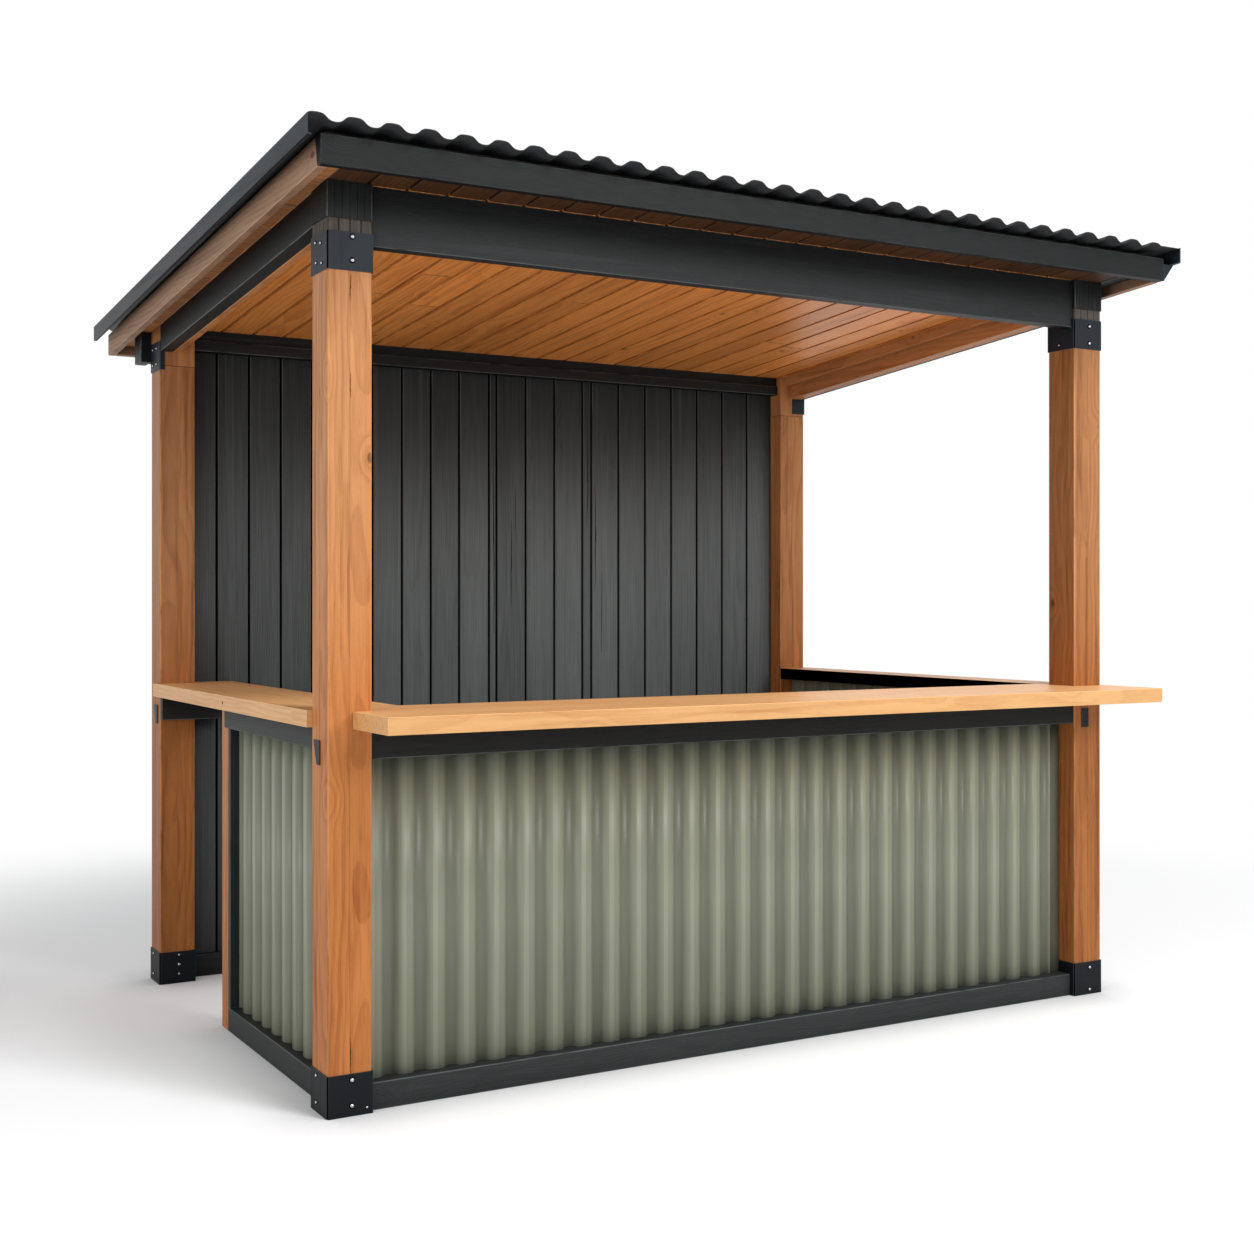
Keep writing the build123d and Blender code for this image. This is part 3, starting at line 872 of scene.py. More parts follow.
class GardenBarFinishes(bpy.types.PropertyGroup):
    """Colours of the bar's timber and metal"""

    cedar_pale: colour_of("Cedar, pale", "Early wood of the posts", (0.57, 0.255, 0.098))
    cedar_deep: colour_of("Cedar, deep", "Late wood and streaks of the posts", (0.27, 0.088, 0.024))
    barge_pale: colour_of("Barge, pale", "Early wood of the barge boards", (0.37, 0.228, 0.148))
    barge_deep: colour_of("Barge, deep", "Late wood of the barge boards", (0.205, 0.102, 0.055))
    eaves_pale: colour_of("Eaves, pale", "Early wood under the eaves", (0.46, 0.20, 0.075))
    eaves_deep: colour_of("Eaves, deep", "Late wood under the eaves", (0.22, 0.075, 0.024))
    ceiling_pale: colour_of("Ceiling, pale", "Early wood overhead", (1.0, 0.40, 0.098))
    ceiling_deep: colour_of("Ceiling, deep", "Late wood overhead", (0.55, 0.160, 0.030))
    counter_pale: colour_of("Counter, pale", "Early wood of the counter", (0.84, 0.47, 0.20))
    counter_deep: colour_of("Counter, deep", "Late wood of the counter", (0.58, 0.26, 0.085))
    charcoal: colour_of("Charcoal", "Stain on the beams and rails", (0.036, 0.039, 0.040))
    # Partly real wear and partly a painted highlight along the eased edges
    charcoal_rubbed_and_lit: colour_of("Charcoal, rubbed", "Stain on rubbed edges", (0.11, 0.12, 0.125))
    wall_charcoal: colour_of("Wall charcoal", "Stain on the rear boards", (0.084, 0.096, 0.097))
    weathered: colour_of("Post top", "Stain on the tops of the front posts", (0.085, 0.074, 0.065))
    sage: colour_of("Sage", "Paint on the counter fronts", (0.238, 0.252, 0.190))
    roof: colour_of("Roof", "Coating of the roof sheet", (0.022, 0.023, 0.025))
    flashing: colour_of("Flashing", "Coating of the edge flashings", (0.014, 0.021, 0.028))
    fittings: colour_of("Fittings", "Coating of the shoes and brackets", (0.013, 0.018, 0.024))
    shadow_gap: colour_of("Open joints", "Shadow in the joints between boards", (0.004, 0.004, 0.004))


class GardenBarSizes(bpy.types.PropertyGroup):
    """Sizes of the bar's boards, waves and fixings"""

    eased_edge: length_of("Eased edge", "Rounding of sawn edges", 0.0025)
    post_edge: length_of("Post edge", "Rounding of the posts' corners", 0.004)
    ceiling_gap: length_of("Ceiling joint", "Width of a joint between ceiling boards", 0.0085)
    front_gap: length_of("Front joint", "Width of a joint at the front overhang", 0.009)
    ceiling_pitch: length_of("Ceiling board", "Width of a ceiling board with its joint", 0.112)
    wall_gap: length_of("Wall joint", "Width of an open joint between wall boards", 0.0085)
    wall_first: length_of("First wall board", "Width of the board beside the left post", 0.097)
    wall_narrow: length_of("Left wall boards", "Pitch of the boards at the left", 0.1175)
    wall_wide: length_of("Right wall boards", "Pitch of the boards at the right", 0.1265)
    eave_pitch: length_of("Eave board", "Length of an eave board with its joint", 0.200)
    wave_pitch: length_of("Wave", "Distance between two crests of the counter fronts", 0.089)
    end_pan: length_of("End pan", "Flat strip at the right end of the front sheet", 0.052)
    bolt_radius: length_of("Bolt head", "Radius of a bolt head", 0.0056)


# Operators


class PieceOperator:
    """What the bar's piece builders share"""

    bl_options = {"REGISTER", "UNDO"}

    @property
    def sizes(self):
        return bpy.context.scene.garden_bar_sizes


def laminated_outline(low, high, edge, joints, groove):
    """A post's section: rounded corners and a fine V at each glue line, at shares of its width."""
    corners = [(low[0], low[1]), (high[0], low[1]), (high[0], high[1]), (low[0], high[1])]
    outline = []
    for index, (x, y) in enumerate(corners):
        x2, y2 = corners[(index + 1) % 4]
        ahead = Vector((x2 - x, y2 - y)).normalized()
        behind = Vector(corners[index - 1]) - Vector((x, y))
        behind.normalize()
        for part in range(4):
            turn = part / 3
            bend = (Vector((x, y)) + behind * edge * (1 - turn) ** 2) + ahead * edge * turn**2
            outline.append(tuple(bend))
        inward = Vector((-ahead.y, ahead.x))
        span = (Vector((x2, y2)) - Vector((x, y))).length
        for share in joints:
            middle = Vector((x, y)) + ahead * span * share
            outline.append(tuple(middle - ahead * groove * 0.6))
            outline.append(tuple(middle + inward * groove))
            outline.append(tuple(middle + ahead * groove * 0.6))
    return outline


def quarter_outline(corner, heart, edge):
    """A quarter of a post's section: rounded at its outer corner, just eased at the glue lines."""
    glue_edge = 0.0006
    (cx, cy), (hx, hy) = corner, heart
    dx = math.copysign(1.0, hx - cx)
    dy = math.copysign(1.0, hy - cy)
    outline = []
    for part in range(5):
        angle = math.radians(90.0 * part / 4)
        x = cx + dx * edge * (1.0 - math.sin(angle))
        y = cy + dy * edge * (1.0 - math.cos(angle))
        outline.append((x, y))
    outline += [(cx, hy - dy * glue_edge), (cx + dx * glue_edge, hy), (hx, hy)]
    outline += [(hx, cy + dy * glue_edge), (hx - dx * glue_edge, cy)]
    return outline


def laminated_trunk(work, low, high, z0, z1, edge, tone, under_roof=False):
    """Four quarters glued into one post, each with its own grain and a tone near the given one."""
    heart = ((low.x + high.x) / 2, (low.y + high.y) / 2)
    for cx in (low.x, high.x):
        for cy in (low.y, high.y):
            part = extruded(quarter_outline((cx, cy), heart, edge), z0, z1)
            if under_roof:
                meet_ceiling(part, z1)
            tint = tone + work.dice.uniform(-0.6, 0.6)
            work.add(mark_corners(part, low, high, edge), "z", tint=tint)


def meet_ceiling(part, top):
    """Lifts the points at a level top to the underside of the ceiling."""
    for vert in part.verts:
        if abs(vert.co.z - top) < 1e-4:
            vert.co.z = ceiling_z(vert.co.y)


def mark_corners(part, low, high, edge):
    """Marks the rounded corners of an extruded post as worn."""
    worn = part.faces.layers.float.new("worn")
    for face in part.faces:
        middle = face.calc_center_median()
        near_x = min(abs(middle.x - low[0]), abs(middle.x - high[0])) < edge
        near_y = min(abs(middle.y - low[1]), abs(middle.y - high[1])) < edge
        if near_x and near_y:
            face[worn] = 1.0
            face.smooth = True
    return part


class GARDENBAR_OT_posts(PieceOperator, bpy.types.Operator):
    """Builds the four laminated posts, with the weathered tops of the front two"""

    bl_idname = "gardenbar.posts"
    bl_label = "Posts"

    def execute(self, context):
        made = finishes()
        edge = self.sizes.post_edge
        for index, side in enumerate(("left", "right")):
            name = f"front_{side}_post"
            low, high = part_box(name)
            work = Joinery(seed=11 + index)
            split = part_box("post_top_brackets")[1].z - POST_TOP_DROP
            laminated_trunk(work, low, high, low.z, split, edge, POST_TONES[name])
            striped = laminated_outline(low, high, edge, (0.25, 0.5, 0.75), groove=0.003)
            top = mark_corners(extruded(striped, split, high.z), low, high, edge)
            work.add(top, "z", material=1)
            if side == "left":
                for z0, z1 in POST_SPLITS:
                    across = low.x + POST_SPLITS_ACROSS
                    shake(work, across, low.y, z0, z1, 0.0022, material=2)
            work.finish(
                name + "_timber",
                [made["cedar"], made["weathered"], made["dark_gap"]],
                "cedar_posts",
                [name],
            )
        for index, (name, joint) in enumerate(REAR_POST_JOINTS.items()):
            low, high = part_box(name)
            work = Joinery(seed=13 + index)
            tone = POST_TONES[name]
            half = JOINT_GAP / 2
            laminated_trunk(work, low, high, low.z, joint - half, edge, tone)
            laminated_trunk(work, low, high, joint + half, high.z, edge, tone, under_roof=True)
            work.finish(name + "_timber", [made["cedar"]], "cedar_posts", [name])
        return {"FINISHED"}


def turned(centre, axis, outward, radius, profile):
    """A round solid from (reach, lift) pairs, both in radii. It ends in a point on its axis."""
    sides = 20
    across, up, length = ALONG[axis]
    part = bmesh.new()
    rings = []
    for reach, lift in profile:
        ring = []
        for index in range(sides if reach else 1):
            angle = math.tau * index / sides
            point = [0.0, 0.0, 0.0]
            point[across] = centre[across] + radius * reach * math.cos(angle)
            point[up] = centre[up] + radius * reach * math.sin(angle)
            point[length] = centre[length] + outward * radius * lift
            ring.append(part.verts.new(point))
        rings.append(ring)
    part.faces.new(rings[0])
    for lower, upper in zip(rings, rings[1:]):
        for index in range(sides):
            after = (index + 1) % sides
            if len(upper) == 1:
                part.faces.new((lower[index], lower[after], upper[0]))
            else:
                part.faces.new((lower[index], lower[after], upper[after], upper[index]))
    return part


def dome_bolt(work, centre, axis, outward, radius, seat=1):
    """A domed bolt head that stands on a seating ring, black by default as painted shade round the
    head.
    outward is 1 or -1 along the axis.
    """
    ring = [(1.42, 0.0), (1.42, 0.08), (1.34, 0.14), (0.0, 0.14)]
    work.add(turned(centre, axis, outward, radius, ring), axis, material=seat, smooth=True)
    dome = [(0.86, 0.1), (0.86, 0.3), (0.95, 0.36), (0.95, 0.46), (0.82, 0.68)]
    dome += [(0.55, 0.85), (0.28, 0.93), (0.0, 0.95)]
    work.add(turned(centre, axis, outward, radius, dome), axis, smooth=True)


def post_sleeve(work, post, low_z, high_z):
    """Four plates round a post with open corners, over a dark liner that shows in them."""
    (x0, y0, _), (x1, y1, _) = post
    inner = PLATE * 0.4
    inset = 0.0016
    short = 0.001
    plates = (
        ((x0 + inset, y0 - PLATE), (x1 + inset, y0 - inner)),
        ((x0 - inset, y1 + inner), (x1 - inset, y1 + PLATE)),
        ((x0 - PLATE, y0 + inset), (x0 - inner, y1 + inset)),
        ((x1 + inner, y0 - inset), (x1 + PLATE, y1 - inset)),
    )
    liners = (
        ((x0 - inner, y0 - inner), (x1 + inner, y0)),
        ((x0 - inner, y1), (x1 + inner, y1 + inner)),
        ((x0 - inner, y0), (x0, y1)),
        ((x1, y0), (x1 + inner, y1)),
    )
    for near, far in plates:
        work.board((*near, low_z), (*far, high_z), "z", edge=0.0007)
    for near, far in liners:
        work.board((*near, low_z + short), (*far, high_z - short), "z", edge=0.0, material=1)


class GARDENBAR_OT_fittings(PieceOperator, bpy.types.Operator):
    """Builds the post shoes, the top brackets, the counter clips and their bolts"""

    bl_idname = "gardenbar.fittings"
    bl_label = "Shoes, brackets and clips"

    def execute(self, context):
        made = finishes()
        bolts = Joinery(seed=31)
        radius = self.sizes.bolt_radius
        for index, place in enumerate(("front_left", "front_right", "rear_left", "rear_right")):
            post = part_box(place + "_post")
            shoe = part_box(place + "_base_shoe")
            work = Joinery(seed=21 + index)
            post_sleeve(work, post, 0.0, shoe[1].z)
            work.board((post[0].x, post[0].y, 0.0), (post[1].x, post[1].y, post[0].z), "x", edge=0.0)
            work.finish(
                place + "_shoe_plates",
                [made["shoes"], made["dark_gap"]],
                "steel_fittings",
                [place + "_base_shoe"],
            )
            self.shoe_bolts(bolts, place, post, radius)
        work = Joinery(seed=41)
        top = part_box("post_top_brackets")[1].z
        for place in ("front_left", "front_right"):
            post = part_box(place + "_post")
            post_sleeve(work, post, top - BRACKET_HEIGHT, top)
            self.bracket_bolts(bolts, place, post, radius)
        self.rear_brackets(work, bolts, radius)
        work.finish(
            "top_bracket_plates",
            [made["fittings"], made["dark_gap"]],
            "steel_fittings",
            ["post_top_brackets"],
        )
        self.clips(made)
        bolts.finish("bolt_heads", [made["bolts"], made["dark_gap"]], "steel_fittings")
        return {"FINISHED"}

    def shoe_bolts(self, bolts, place, post, radius):
        """Bolts on all four faces, as seen on the front and left ones."""
        (x0, y0, _), (x1, y1, _) = post
        for across, z, share in SHOE_BOLTS[place]:
            dome_bolt(bolts, (x0 + across, y0 - PLATE, z), "y", -1, radius * share)
            dome_bolt(bolts, (x1 - across, y1 + PLATE, z), "y", 1, radius * share)
        for across, z in SHOE_SIDE_BOLTS:
            dome_bolt(bolts, (x0 - PLATE, y0 + across, z), "x", -1, radius * 0.75)
            dome_bolt(bolts, (x1 + PLATE, y1 - across, z), "x", 1, radius * 0.75)

    def bracket_bolts(self, bolts, place, post, radius):
        """Two bolts on the front, and those seen on the sides."""
        (x0, y0, _), (x1, _, _) = post
        for z in BRACKET_FRONT_BOLTS[place]:
            dome_bolt(bolts, (x0 + 0.065, y0 - PLATE, z), "y", -1, radius)
        for across, z in BRACKET_SIDE_BOLTS[place]:
            dome_bolt(bolts, (x0 - PLATE, y0 + across, z), "x", -1, radius * 0.72)
            dome_bolt(bolts, (x1 + PLATE, y0 + across, z), "x", 1, radius * 0.72)

    def rear_brackets(self, work, bolts, radius):
        """Angle plates on the rear posts' outer faces."""
        low_z = REAR_BRACKET_FOOT
        high_z = low_z + BRACKET_HEIGHT
        for place, fold in REAR_BRACKET_FOLDS.items():
            low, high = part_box(place + "_post")
            outward = -1 if place == "rear_left" else 1
            face = low.x if outward < 0 else high.x
            front = low.y - PLATE
            x0, x1 = sorted((face, face + outward * PLATE))
            work.board((x0, front, low_z), (x1, high.y, high_z), "z", edge=0.0008)
            x0, x1 = sorted((face, face - outward * fold))
            work.board((x0, front, low_z), (x1, low.y, high_z), "z", edge=0.0008)
            for across, z in REAR_BRACKET_BOLTS:
                where = (face + outward * PLATE, low.y + across, low_z + z)
                dome_bolt(bolts, where, "x", outward, radius * 0.8)

    def clips(self, made):
        """The small plates under the counter ends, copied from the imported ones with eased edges."""
        work = Joinery(seed=47)
        work.node("counter_clips", "z", edge=0.001)
        work.finish("counter_clip_plates", [made["fittings"]], "steel_fittings", ["counter_clips"])


def dressed(name, finish, slot, along, edge, seed, ending="_timber"):
    """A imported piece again, with eased edges and its finish."""
    work = Joinery(seed)
    work.node(name, along, edge=edge, tint=0.0)
    return work.finish(name + ending, [finish], slot, [name])


class GARDENBAR_OT_beams(PieceOperator, bpy.types.Operator):
    """Builds the beams under the roof and the blocks over the front posts"""

    bl_idname = "gardenbar.beams"
    bl_label = "Beams"

    def execute(self, context):
        made = finishes()
        edge = self.sizes.eased_edge
        stained = (
            ("front_beam", "x"),
            ("rear_beam", "x"),
            ("rear_outriggers", "y"),
            ("left_beam", "y"),
            ("right_beam_cladding", "y"),
        )
        # These beams take charcoal with deeper painted shade, under the roof
        for index, (name, along) in enumerate(stained):
            dressed(name, made["sheltered"], "charcoal_timber", along, edge, 51 + index)
        for index, name in enumerate(("left_beam_lining", "right_beam", "ceiling_ledgers")):
            dressed(name, made["cedar"], "cedar_beams", "y", edge, 61 + index)
        for index, side in enumerate(("left", "right")):
            self.corner_block(made, f"front_{side}_corner_block", 57 + index)
        return {"FINISHED"}

    def corner_block(self, made, name, seed):
        """The block over a front post, with faint upright grooves."""
        low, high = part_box(name)
        work = Joinery(seed)
        shares = (0.17, 0.33, 0.5, 0.67, 0.83)
        outline = laminated_outline(low, high, self.sizes.eased_edge, shares, groove=0.0011)
        part = extruded(outline, low.z, high.z)
        meet_ceiling(part, high.z)
        work.add(mark_corners(part, low, high, self.sizes.eased_edge), "z", tint=-4.0)
        work.finish(name + "_timber", [made["charcoal"]], "charcoal_timber", [name])


class GARDENBAR_OT_ceiling(PieceOperator, bpy.types.Operator):
    """Builds the ceiling boards and the short boards of the eaves"""

    bl_idname = "gardenbar.ceiling"
    bl_label = "Ceiling"

    def execute(self, context):
        made = finishes()
        sizes = self.sizes
        low, high = CEILING
        work = Joinery(seed=71)
        count = round((high.x - low.x) / sizes.ceiling_pitch)
        pitch = (high.x - low.x) / count
        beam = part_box("front_beam")
        for index in range(count):
            x = low.x + index * pitch
            butt = work.dice.uniform(0.1, 0.9)
            joint = beam[1].y + (high.y - beam[1].y) * butt
            lengths = [(beam[0].y, high.y)]
            if work.dice.random() < JOINTED_SHARE:
                lengths = [(beam[0].y, joint - 0.001), (joint + 0.001, high.y)]
            for y0, y1 in lengths:
                self.strip(work, x, x + pitch - sizes.ceiling_gap, y0, y1)
            # The boards under the front overhang take the overhang cedar, in painted shade
            self.strip(work, x, x + pitch - sizes.front_gap, low.y, beam[0].y - 0.001, material=3)
        self.backing(work, low.x, high.x, beam[0].y, high.y, material=2)
        self.backing(work, low.x, high.x, low.y, beam[0].y, material=1)
        work.finish(
            "ceiling_board_set",
            [made["ceiling"], made["dark_gap"], made["brown_gap"], made["overhang"]],
            "ceiling_cedar",
            ["ceiling_boards"],
        )
        self.eaves(made, sizes)
        return {"FINISHED"}

    def strip(self, work, x0, x1, y0, y1, along="y", material=0):
        """One ceiling board that follows the roof, a little short of its backing."""
        top = CEILING_THICKNESS - BACKING - 0.001
        work.board(
            (x0, y0, 0.0), (x1, y1, top), along, 0.003, move=tilt_with_roof, material=material
        )

    def backing(self, work, x0, x1, y0, y1, material):
        """The dark layer that closes the joints from above."""
        low_z = CEILING_THICKNESS - BACKING
        work.board(
            (x0, y0, low_z),
            (x1, y1, CEILING_THICKNESS),
            "y",
            edge=0.0,
            move=tilt_with_roof,
            material=material,
        )

    def eaves(self, made, sizes):
        """Short boards across the eaves, outside the posts, the right ones in charcoal as painted
        shade.
        """
        work = Joinery(seed=73)
        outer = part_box("eave_soffits")
        low, high = CEILING
        count = round((high.y - low.y) / sizes.eave_pitch)
        pitch = (high.y - low.y) / count
        # The right eave boards take charcoal as painted shade
        for x0, x1, stain_or_painted_shade in ((outer[0].x, low.x, 0), (high.x, outer[1].x, 2)):
            for index in range(count):
                y = low.y + index * pitch
                self.strip(work, x0, x1, y, y + pitch - sizes.front_gap, "x", stain_or_painted_shade)
            self.backing(work, x0, x1, low.y, high.y, material=1)
        work.finish(
            "eave_board_set",
            [made["eaves"], made["dark_gap"], made["charcoal"]],
            "ceiling_cedar",
            ["eave_soffits"],
        )


class GARDENBAR_OT_roof(PieceOperator, bpy.types.Operator):
    """Builds the roof sheet, its screws, the flashings, the fascias and the battens"""

    bl_idname = "gardenbar.roof"
    bl_label = "Roof"

    def execute(self, context):
        made = finishes()
        edge = self.sizes.eased_edge
        dressed("front_fascia", made["fascia"], "charcoal_timber", "x", edge, 81)
        dressed("rear_fascia", made["barge"], "barge_cedar", "x", edge, 82)
        dressed("left_barge_board", made["barge"], "barge_cedar", "y", edge, 83)
        dressed("right_barge_board", made["barge"], "barge_cedar", "y", edge, 84)
        dressed("roof_purlins", made["sawn"], "sawn_battens", "x", 0.001, 85)
        for index, side in enumerate(("left", "right")):
            name = side + "_roof_flashing"
            dressed(name, made["flashing"], "flashing_metal", "y", 0.0009, 86 + index, "_folded")
        gusset = "right_flashing_gusset"
        dressed(gusset, made["flashing"], "flashing_metal", "y", 0.0006, 88, "_plate")
        self.sheet(made)
        return {"FINISHED"}

    def sheet(self, made):
        """The wavy sheet again, with rounded crests, flatter troughs and its flat right edge."""
        low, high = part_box("roof_sheet")
        waves = 30
        flat_edge = 0.090
        crest = 0.044
        depth = 0.018
        pitch = (high.x - low.x - flat_edge - crest) / (waves - 1)
        flat_share = (pitch - crest) / pitch
        bottom = high.z - depth - SHEET
        last_crest = low.x + crest / 2 + (waves - 1) * pitch
        points_a_wave = 22
        steps = round((high.x - low.x) / pitch * points_a_wave)
        line = []
        for index in range(steps + 1):
            x = low.x + (high.x - low.x) * index / steps
            share = wave_share((x - low.x - crest / 2) / pitch, *ROOF_WAVE)
            if x > last_crest:
                share = max(share, flat_share) if x < last_crest + pitch / 2 else flat_share
            line.append((x, bottom + depth * share))

        def place(x, z, y):
            """A point of the sheet's section at the front or rear edge."""
            return (x, y, z - SLOPE * (y - low.y))

        def painted_wave_light(middle):
            """Painted light: -1 for painted shade down in a trough, 1 for painted light up on a crest.
            """
            level = middle.z + SLOPE * (middle.y - low.y)
            return 2.0 * (level - bottom) / depth - 1.0

        work = Joinery(seed=91)
        sheet = wavy_sheet(line, SHEET, (low.y, high.y), place)
        work.add(sheet, "y", tint=painted_wave_light)
        work.finish("roof_sheet_metal", [made["roof"]], "roof_metal", ["roof_sheet"])
        self.screws(made, low, high, pitch, crest, waves)

    def screws(self, made, low, high, pitch, crest, waves):
        """Roofing screws on every third crest, over each batten."""
        work = Joinery(seed=92)
        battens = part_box("roof_purlins")
        rows = 5
        inset = 0.03
        span = battens[1].y - battens[0].y - 2 * inset
        for row in range(rows):
            y = battens[0].y + inset + span * row / (rows - 1)
            z = high.z - SLOPE * (y - low.y) - 0.0008
            for index in range(1, waves, 3):
                dome_bolt(work, (low.x + crest / 2 + index * pitch, y, z), "z", 1, 0.0055, seat=0)
        work.finish("roof_screws", [made["roof"]], "roof_metal")


class GARDENBAR_OT_rear_wall(PieceOperator, bpy.types.Operator):
    """Builds the upright boards of the rear wall with its rail and header"""

    bl_idname = "gardenbar.rear_wall"
    bl_label = "Rear wall"

    def execute(self, context):
        made = finishes()
        edge = self.sizes.eased_edge
        dressed("rear_wall_rail", made["charcoal"], "charcoal_timber", "x", edge, 101)
        # The header takes charcoal with deeper painted shade, under the ceiling
        dressed("rear_wall_header", made["sheltered"], "charcoal_timber", "x", edge, 102)
        low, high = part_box("rear_wall_boards")
        work = Joinery(seed=103)
        gap = self.sizes.wall_gap
        joints = self.joints(low.x, high.x)
        for x0, x1 in zip(joints, joints[1:]):
            work.board(
                (x0 + gap / 2, low.y, low.z),
                (x1 - gap / 2, high.y - 0.001, 1.0),
                "z",
                edge=0.0028,
                move=self.up_to_ceiling,
            )
        work.board(
            (low.x, low.y + 0.008, low.z),
            (high.x, high.y - 0.008, 1.0),
            "z",
            edge=0.0,
            tint=-1.0,
            move=self.up_to_ceiling,
            material=1,
        )
        for across, z0, z1, width in WALL_SHAKES:
            shake(work, LEFT + across, low.y, z0, z1, width, material=1)
        work.finish(
            "rear_wall_board_set",
            [made["charcoal_boards"], made["dark_gap"]],
            "charcoal_boards",
            ["rear_wall_boards"],
        )
        return {"FINISHED"}

    def joints(self, start, end):
        """Where the boards meet: narrower ones, then wider ones with two slips let in."""
        sizes = self.sizes
        joints = [start, start + sizes.wall_first]
        widths = [sizes.wall_narrow] * NARROW_BOARDS
        widths += [sizes.wall_wide, WALL_SLIPS[0]]
        widths += [sizes.wall_wide] * WIDE_BOARDS_BETWEEN + [WALL_SLIPS[1]]
        for width in widths:
            joints.append(joints[-1] + width)
        left_over = round((end - joints[-1]) / sizes.wall_wide)
        pitch = (end - joints[-1]) / left_over
        for _ in range(left_over):
            joints.append(joints[-1] + pitch)
        return joints

    @staticmethod
    def up_to_ceiling(point):
        """Lifts the head of a board drawn a metre high to the ceiling, and leaves its foot."""
        if point.z < 0.5:
            return point.copy()
        return Vector((point.x, point.y, point.z - 1.0 + ceiling_z(point.y)))


class GARDENBAR_OT_counters(PieceOperator, bpy.types.Operator):
    """Builds the three counter slabs"""

    bl_idname = "gardenbar.counters"
    bl_label = "Counters"

    def execute(self, context):
        made = finishes()
        side_joints = (1, tuple(FRONT + back for back in SIDE_COUNTER_JOINTS))
        counters = (
            ("front_counter", "x", ((0, (LEFT + FRONT_COUNTER_JOINT,)),)),
            ("left_counter", "y", (side_joints, (0, (LEFT + SIDE_COUNTER_SEAM,)))),
            ("right_counter", "y", (side_joints, (0, (RIGHT - SIDE_COUNTER_SEAM,)))),
        )
        for index, (name, along, cuts) in enumerate(counters):
            work = Joinery(111 + index)
            low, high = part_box(name)

            def painted_top_light(middle, top=high.z):
                """Painted light: paler on top, and painted shade round the edges."""
                return 0.35 if middle.z > top - 0.003 else -0.9

            work.sawn_node(name, along, cuts, edge=0.0012, tint=painted_top_light)
            if name == "left_counter":
                knot = (low.x, FRONT + COUNTER_KNOT, (low.z + high.z) / 2)
                recess = [(1.0, 0.0), (1.0, 0.05), (0.6, 0.12), (0.0, 0.14)]
                dark = turned(knot, "x", -1, 0.0045, recess)
                work.add(dark, "x", material=1)
            work.finish(
                name + "_timber", [made["counter"], made["dark_gap"]], "counter_timber", [name]
            )
        return {"FINISHED"}


class GARDENBAR_OT_counter_fronts(PieceOperator, bpy.types.Operator):
    """Builds the rails, aprons, wavy sheets and the doorway's stud and jamb"""

    bl_idname = "gardenbar.counter_fronts"
    bl_label = "Counter fronts"

    def execute(self, context):
        made = finishes()
        edge = self.sizes.eased_edge
        rails = (
            ("front_base_rail", "x"),
            ("left_base_rail", "y"),
            ("right_base_rail", "y"),
            ("front_apron", "x"),
            ("left_apron", "y"),
            ("right_apron", "y"),
            ("doorway_jamb", "z"),
            ("left_counter_cleat", "x"),
        )
        for index, (name, along) in enumerate(rails):
            # Aprons and the cleat take charcoal with deeper painted shade, under the counters
            stain_or_painted_shade = made["sheltered" if name.endswith(("apron", "cleat")) else "charcoal"]
            dressed(name, stain_or_painted_shade, "charcoal_timber", along, edge, 121 + index)
        dressed("doorway_stud", made["cedar"], "doorway_stud_cedar", "z", edge, 131)
        for index, name in enumerate(("front_sheet", "left_sheet", "right_sheet")):
            self.sheet(made, name, 141 + index)
        return {"FINISHED"}

    def sheet(self, made, name, seed):
        """One wavy sheet with rounded crests, standing between its rail and the counter."""
        low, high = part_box(name)
        runs_x = name == "front_sheet"
        start, end = (low.x, high.x) if runs_x else (low.y, high.y)
        near, far = (low.y, high.y) if runs_x else (low.x, high.x)
        depth = far - near - SHEET
        pan = self.sizes.end_pan if runs_x else 0.0
        waves = max(1, round((end - start - pan) / self.sizes.wave_pitch))
        pitch = (end - start - pan) / waves
        points_a_wave = 26
        steps = points_a_wave * waves
        turned_out = name == "right_sheet"
        line = []
        for index in range(steps + 1):
            along = start + pitch * waves * index / steps
            share = wave_share((along - start) / pitch - 0.25, *FRONT_WAVE)
            line.append((along, near + depth * (share if turned_out else 1.0 - share)))
        if pan:
            trough = near + depth
            line += [(line[-1][0] + pan * 0.15, trough - 0.001), (end, trough - 0.001)]

        def place(along, out, z):
            """A point of the sheet's section at its foot or head."""
            return (along, out, z) if runs_x else (out, along, z)

        def painted_wave_light(middle):
            """Painted light: -1 for painted shade down in a trough or on the flat strip, and nearly 1
            for a painted highlight along a crest.
            """
            turn = ((middle.x if runs_x else middle.y) - start) / pitch - 0.25
            turn -= round(turn)
            # A narrow painted highlight on the lit side of each crest
            if -0.13 < turn < 0.03:
                return 0.95
            if pan and middle.x > start + pitch * waves:
                return -1.0
            return max(-1.0, min(0.1, 2.2 * math.cos(math.tau * turn) + 0.35))

        work = Joinery(seed)
        work.add(wavy_sheet(line, SHEET, (low.z, high.z), place), "z", tint=painted_wave_light)
        work.finish(name + "_metal", [made["sage"]], "sage_metal", [name])


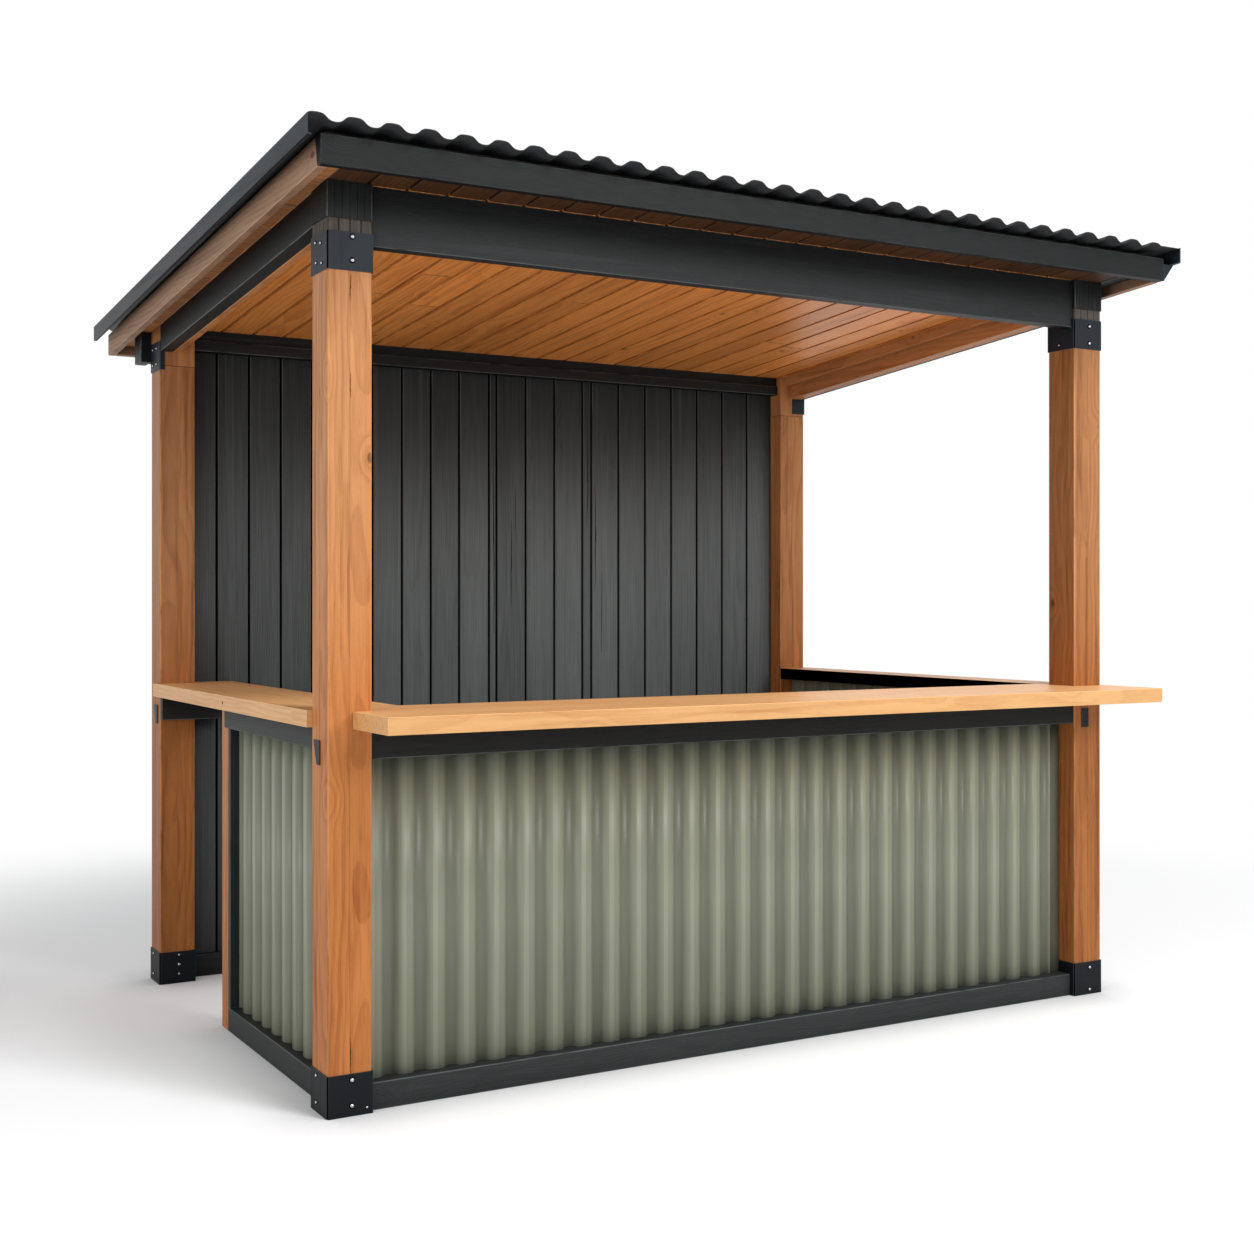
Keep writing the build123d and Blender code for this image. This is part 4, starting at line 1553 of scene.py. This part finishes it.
class GARDENBAR_OT_stage(PieceOperator, bpy.types.Operator):
    """Builds the pale floor, the soft lamps and the camera"""

    bl_idname = "gardenbar.stage"
    bl_label = "Stage"

    def execute(self, context):
        self.floor()
        self.world()
        for name, (place, size, power) in LAMPS.items():
            self.lamp(name, place, size, power)
        self.camera()
        return {"FINISHED"}

    def floor(self):
        """A pale floor that keeps the bar's shadow, has a painted contact shadow near the bar and
        fades into the white round it.
        """
        data = bpy.data.meshes.new("floor")
        turns = ((-1, -1), (1, -1), (1, 1), (-1, 1))
        corners = [(FLOOR_REACH * x, FLOOR_REACH * y, 0) for x, y in turns]
        data.from_pydata(corners, [], [(0, 1, 2, 3)])
        floor = bpy.data.objects.new("floor", data)
        bpy.context.scene.collection.objects.link(floor)
        material, tree, shader = new_material("Studio floor")
        shader.inputs["Roughness"].default_value = 0.9
        shader.inputs["Specular IOR Level"].default_value = 0.0
        seen = self.seen(tree)
        away = length_in(tree, tree.nodes.new("ShaderNodeTexCoord").outputs["Object"])
        far = ramp_of(tree, away, *FLOOR_FADES)
        shown = blend(tree, far, FLOOR_SHOWN, (0.0, 0.0, 0.0))
        base = blend(tree, seen, (0.85, 0.85, 0.85), shown)
        # Painted contact shadow round the bar's foot, in both the floor's colour and its glow
        painted_contact_shadow = painted_corner_shade(tree, 0.22, 0.55, 0.45, 0.97)
        put(tree, shader.inputs["Base Color"], scaled_colour(tree, base, painted_contact_shadow))
        shader.inputs["Emission Color"].default_value = (1.0, 1.0, 1.0, 1.0)
        glow = sums(tree, "MULTIPLY_ADD", far, 1.0 - FLOOR_GLOW, FLOOR_GLOW)
        glow = sums(tree, "MULTIPLY", glow, painted_contact_shadow)
        put(tree, shader.inputs["Emission Strength"], sums(tree, "MULTIPLY", seen, glow))
        data.materials.append(material)

    def world(self):
        """Even light from all round, and plain white where it is looked at."""
        world = bpy.data.worlds.new("Studio")
        bpy.context.scene.world = world
        world.use_nodes = True
        tree = world.node_tree
        background = tree.nodes["Background"]
        background.inputs["Color"].default_value = (1.0, 1.0, 1.0, 1.0)
        strength = ramp_of(tree, self.seen(tree), 0.0, 1.0, WORLD_LIGHT, 1.0)
        put(tree, background.inputs["Strength"], strength)

    def seen(self, tree):
        """1 where the camera, a mirror or a pane looks, and 0 where light only bounces."""
        path = tree.nodes.new("ShaderNodeLightPath")
        mirrored = sums(tree, "MAXIMUM", path.outputs["Is Glossy Ray"], path.outputs["Is Camera Ray"])
        return sums(tree, "MAXIMUM", mirrored, path.outputs["Is Transmission Ray"])

    def lamp(self, name, place, size, power):
        """A round soft lamp that shines on the middle of the bar."""
        light = bpy.data.lights.new(name, "AREA")
        light.shape = "DISK"
        light.size = size
        light.energy = power
        lamp = bpy.data.objects.new(name, light)
        lamp.location = place
        aim = Vector((0.0, 0.0, AIM_HEIGHT)) - Vector(place)
        lamp.rotation_euler = aim.to_track_quat("-Z", "Y").to_euler()
        bpy.context.scene.collection.objects.link(lamp)

    def camera(self):
        """The camera that sees the bar as the photograph does."""
        data = bpy.data.cameras.new("camera")
        data.sensor_width = FILM_WIDTH
        data.lens = FILM_WIDTH * PHOTO_LENS / PHOTO_WIDTH
        data.shift_y = -PHOTO_DROP / PHOTO_WIDTH
        camera = bpy.data.objects.new("camera", data)
        camera.location = (LEFT - CAMERA_LEFT, FRONT - CAMERA_BEFORE, CAMERA_HEIGHT)
        camera.rotation_euler = (math.radians(90.0), 0.0, CAMERA_TURN)
        bpy.context.scene.collection.objects.link(camera)
        bpy.context.scene.camera = camera
        bpy.context.scene.view_settings.view_transform = "Standard"


OPERATORS = (
    GARDENBAR_OT_posts,
    GARDENBAR_OT_fittings,
    GARDENBAR_OT_beams,
    GARDENBAR_OT_ceiling,
    GARDENBAR_OT_roof,
    GARDENBAR_OT_rear_wall,
    GARDENBAR_OT_counters,
    GARDENBAR_OT_counter_fronts,
    GARDENBAR_OT_stage,
)


class GARDENBAR_PT_panel(bpy.types.Panel):
    """Lists the bar's builders, sizes and colours"""

    bl_idname = "GARDENBAR_PT_panel"
    bl_label = "Garden Bar"
    bl_space_type = "VIEW_3D"
    bl_region_type = "UI"
    bl_category = "Garden Bar"

    def draw(self, context):
        for group in (context.scene.garden_bar_sizes, context.scene.garden_bar_finishes):
            box = self.layout.box()
            for name in group.__annotations__:
                box.prop(group, name)
        for operator in OPERATORS:
            self.layout.operator(operator.bl_idname)


CLASSES = (GardenBarFinishes, GardenBarSizes, *OPERATORS, GARDENBAR_PT_panel)


def register():
    for item in CLASSES:
        bpy.utils.register_class(item)
    scene = bpy.types.Scene
    scene.garden_bar_finishes = bpy.props.PointerProperty(type=GardenBarFinishes)
    scene.garden_bar_sizes = bpy.props.PointerProperty(type=GardenBarSizes)


def unregister():
    del bpy.types.Scene.garden_bar_sizes
    del bpy.types.Scene.garden_bar_finishes
    for item in reversed(CLASSES):
        bpy.utils.unregister_class(item)


def main():
    register()
    bpy.ops.gardenbar.posts()
    bpy.ops.gardenbar.fittings()
    bpy.ops.gardenbar.beams()
    bpy.ops.gardenbar.ceiling()
    bpy.ops.gardenbar.roof()
    bpy.ops.gardenbar.rear_wall()
    bpy.ops.gardenbar.counters()
    bpy.ops.gardenbar.counter_fronts()
    bpy.ops.gardenbar.stage()


if __name__ == "__main__":
    main()
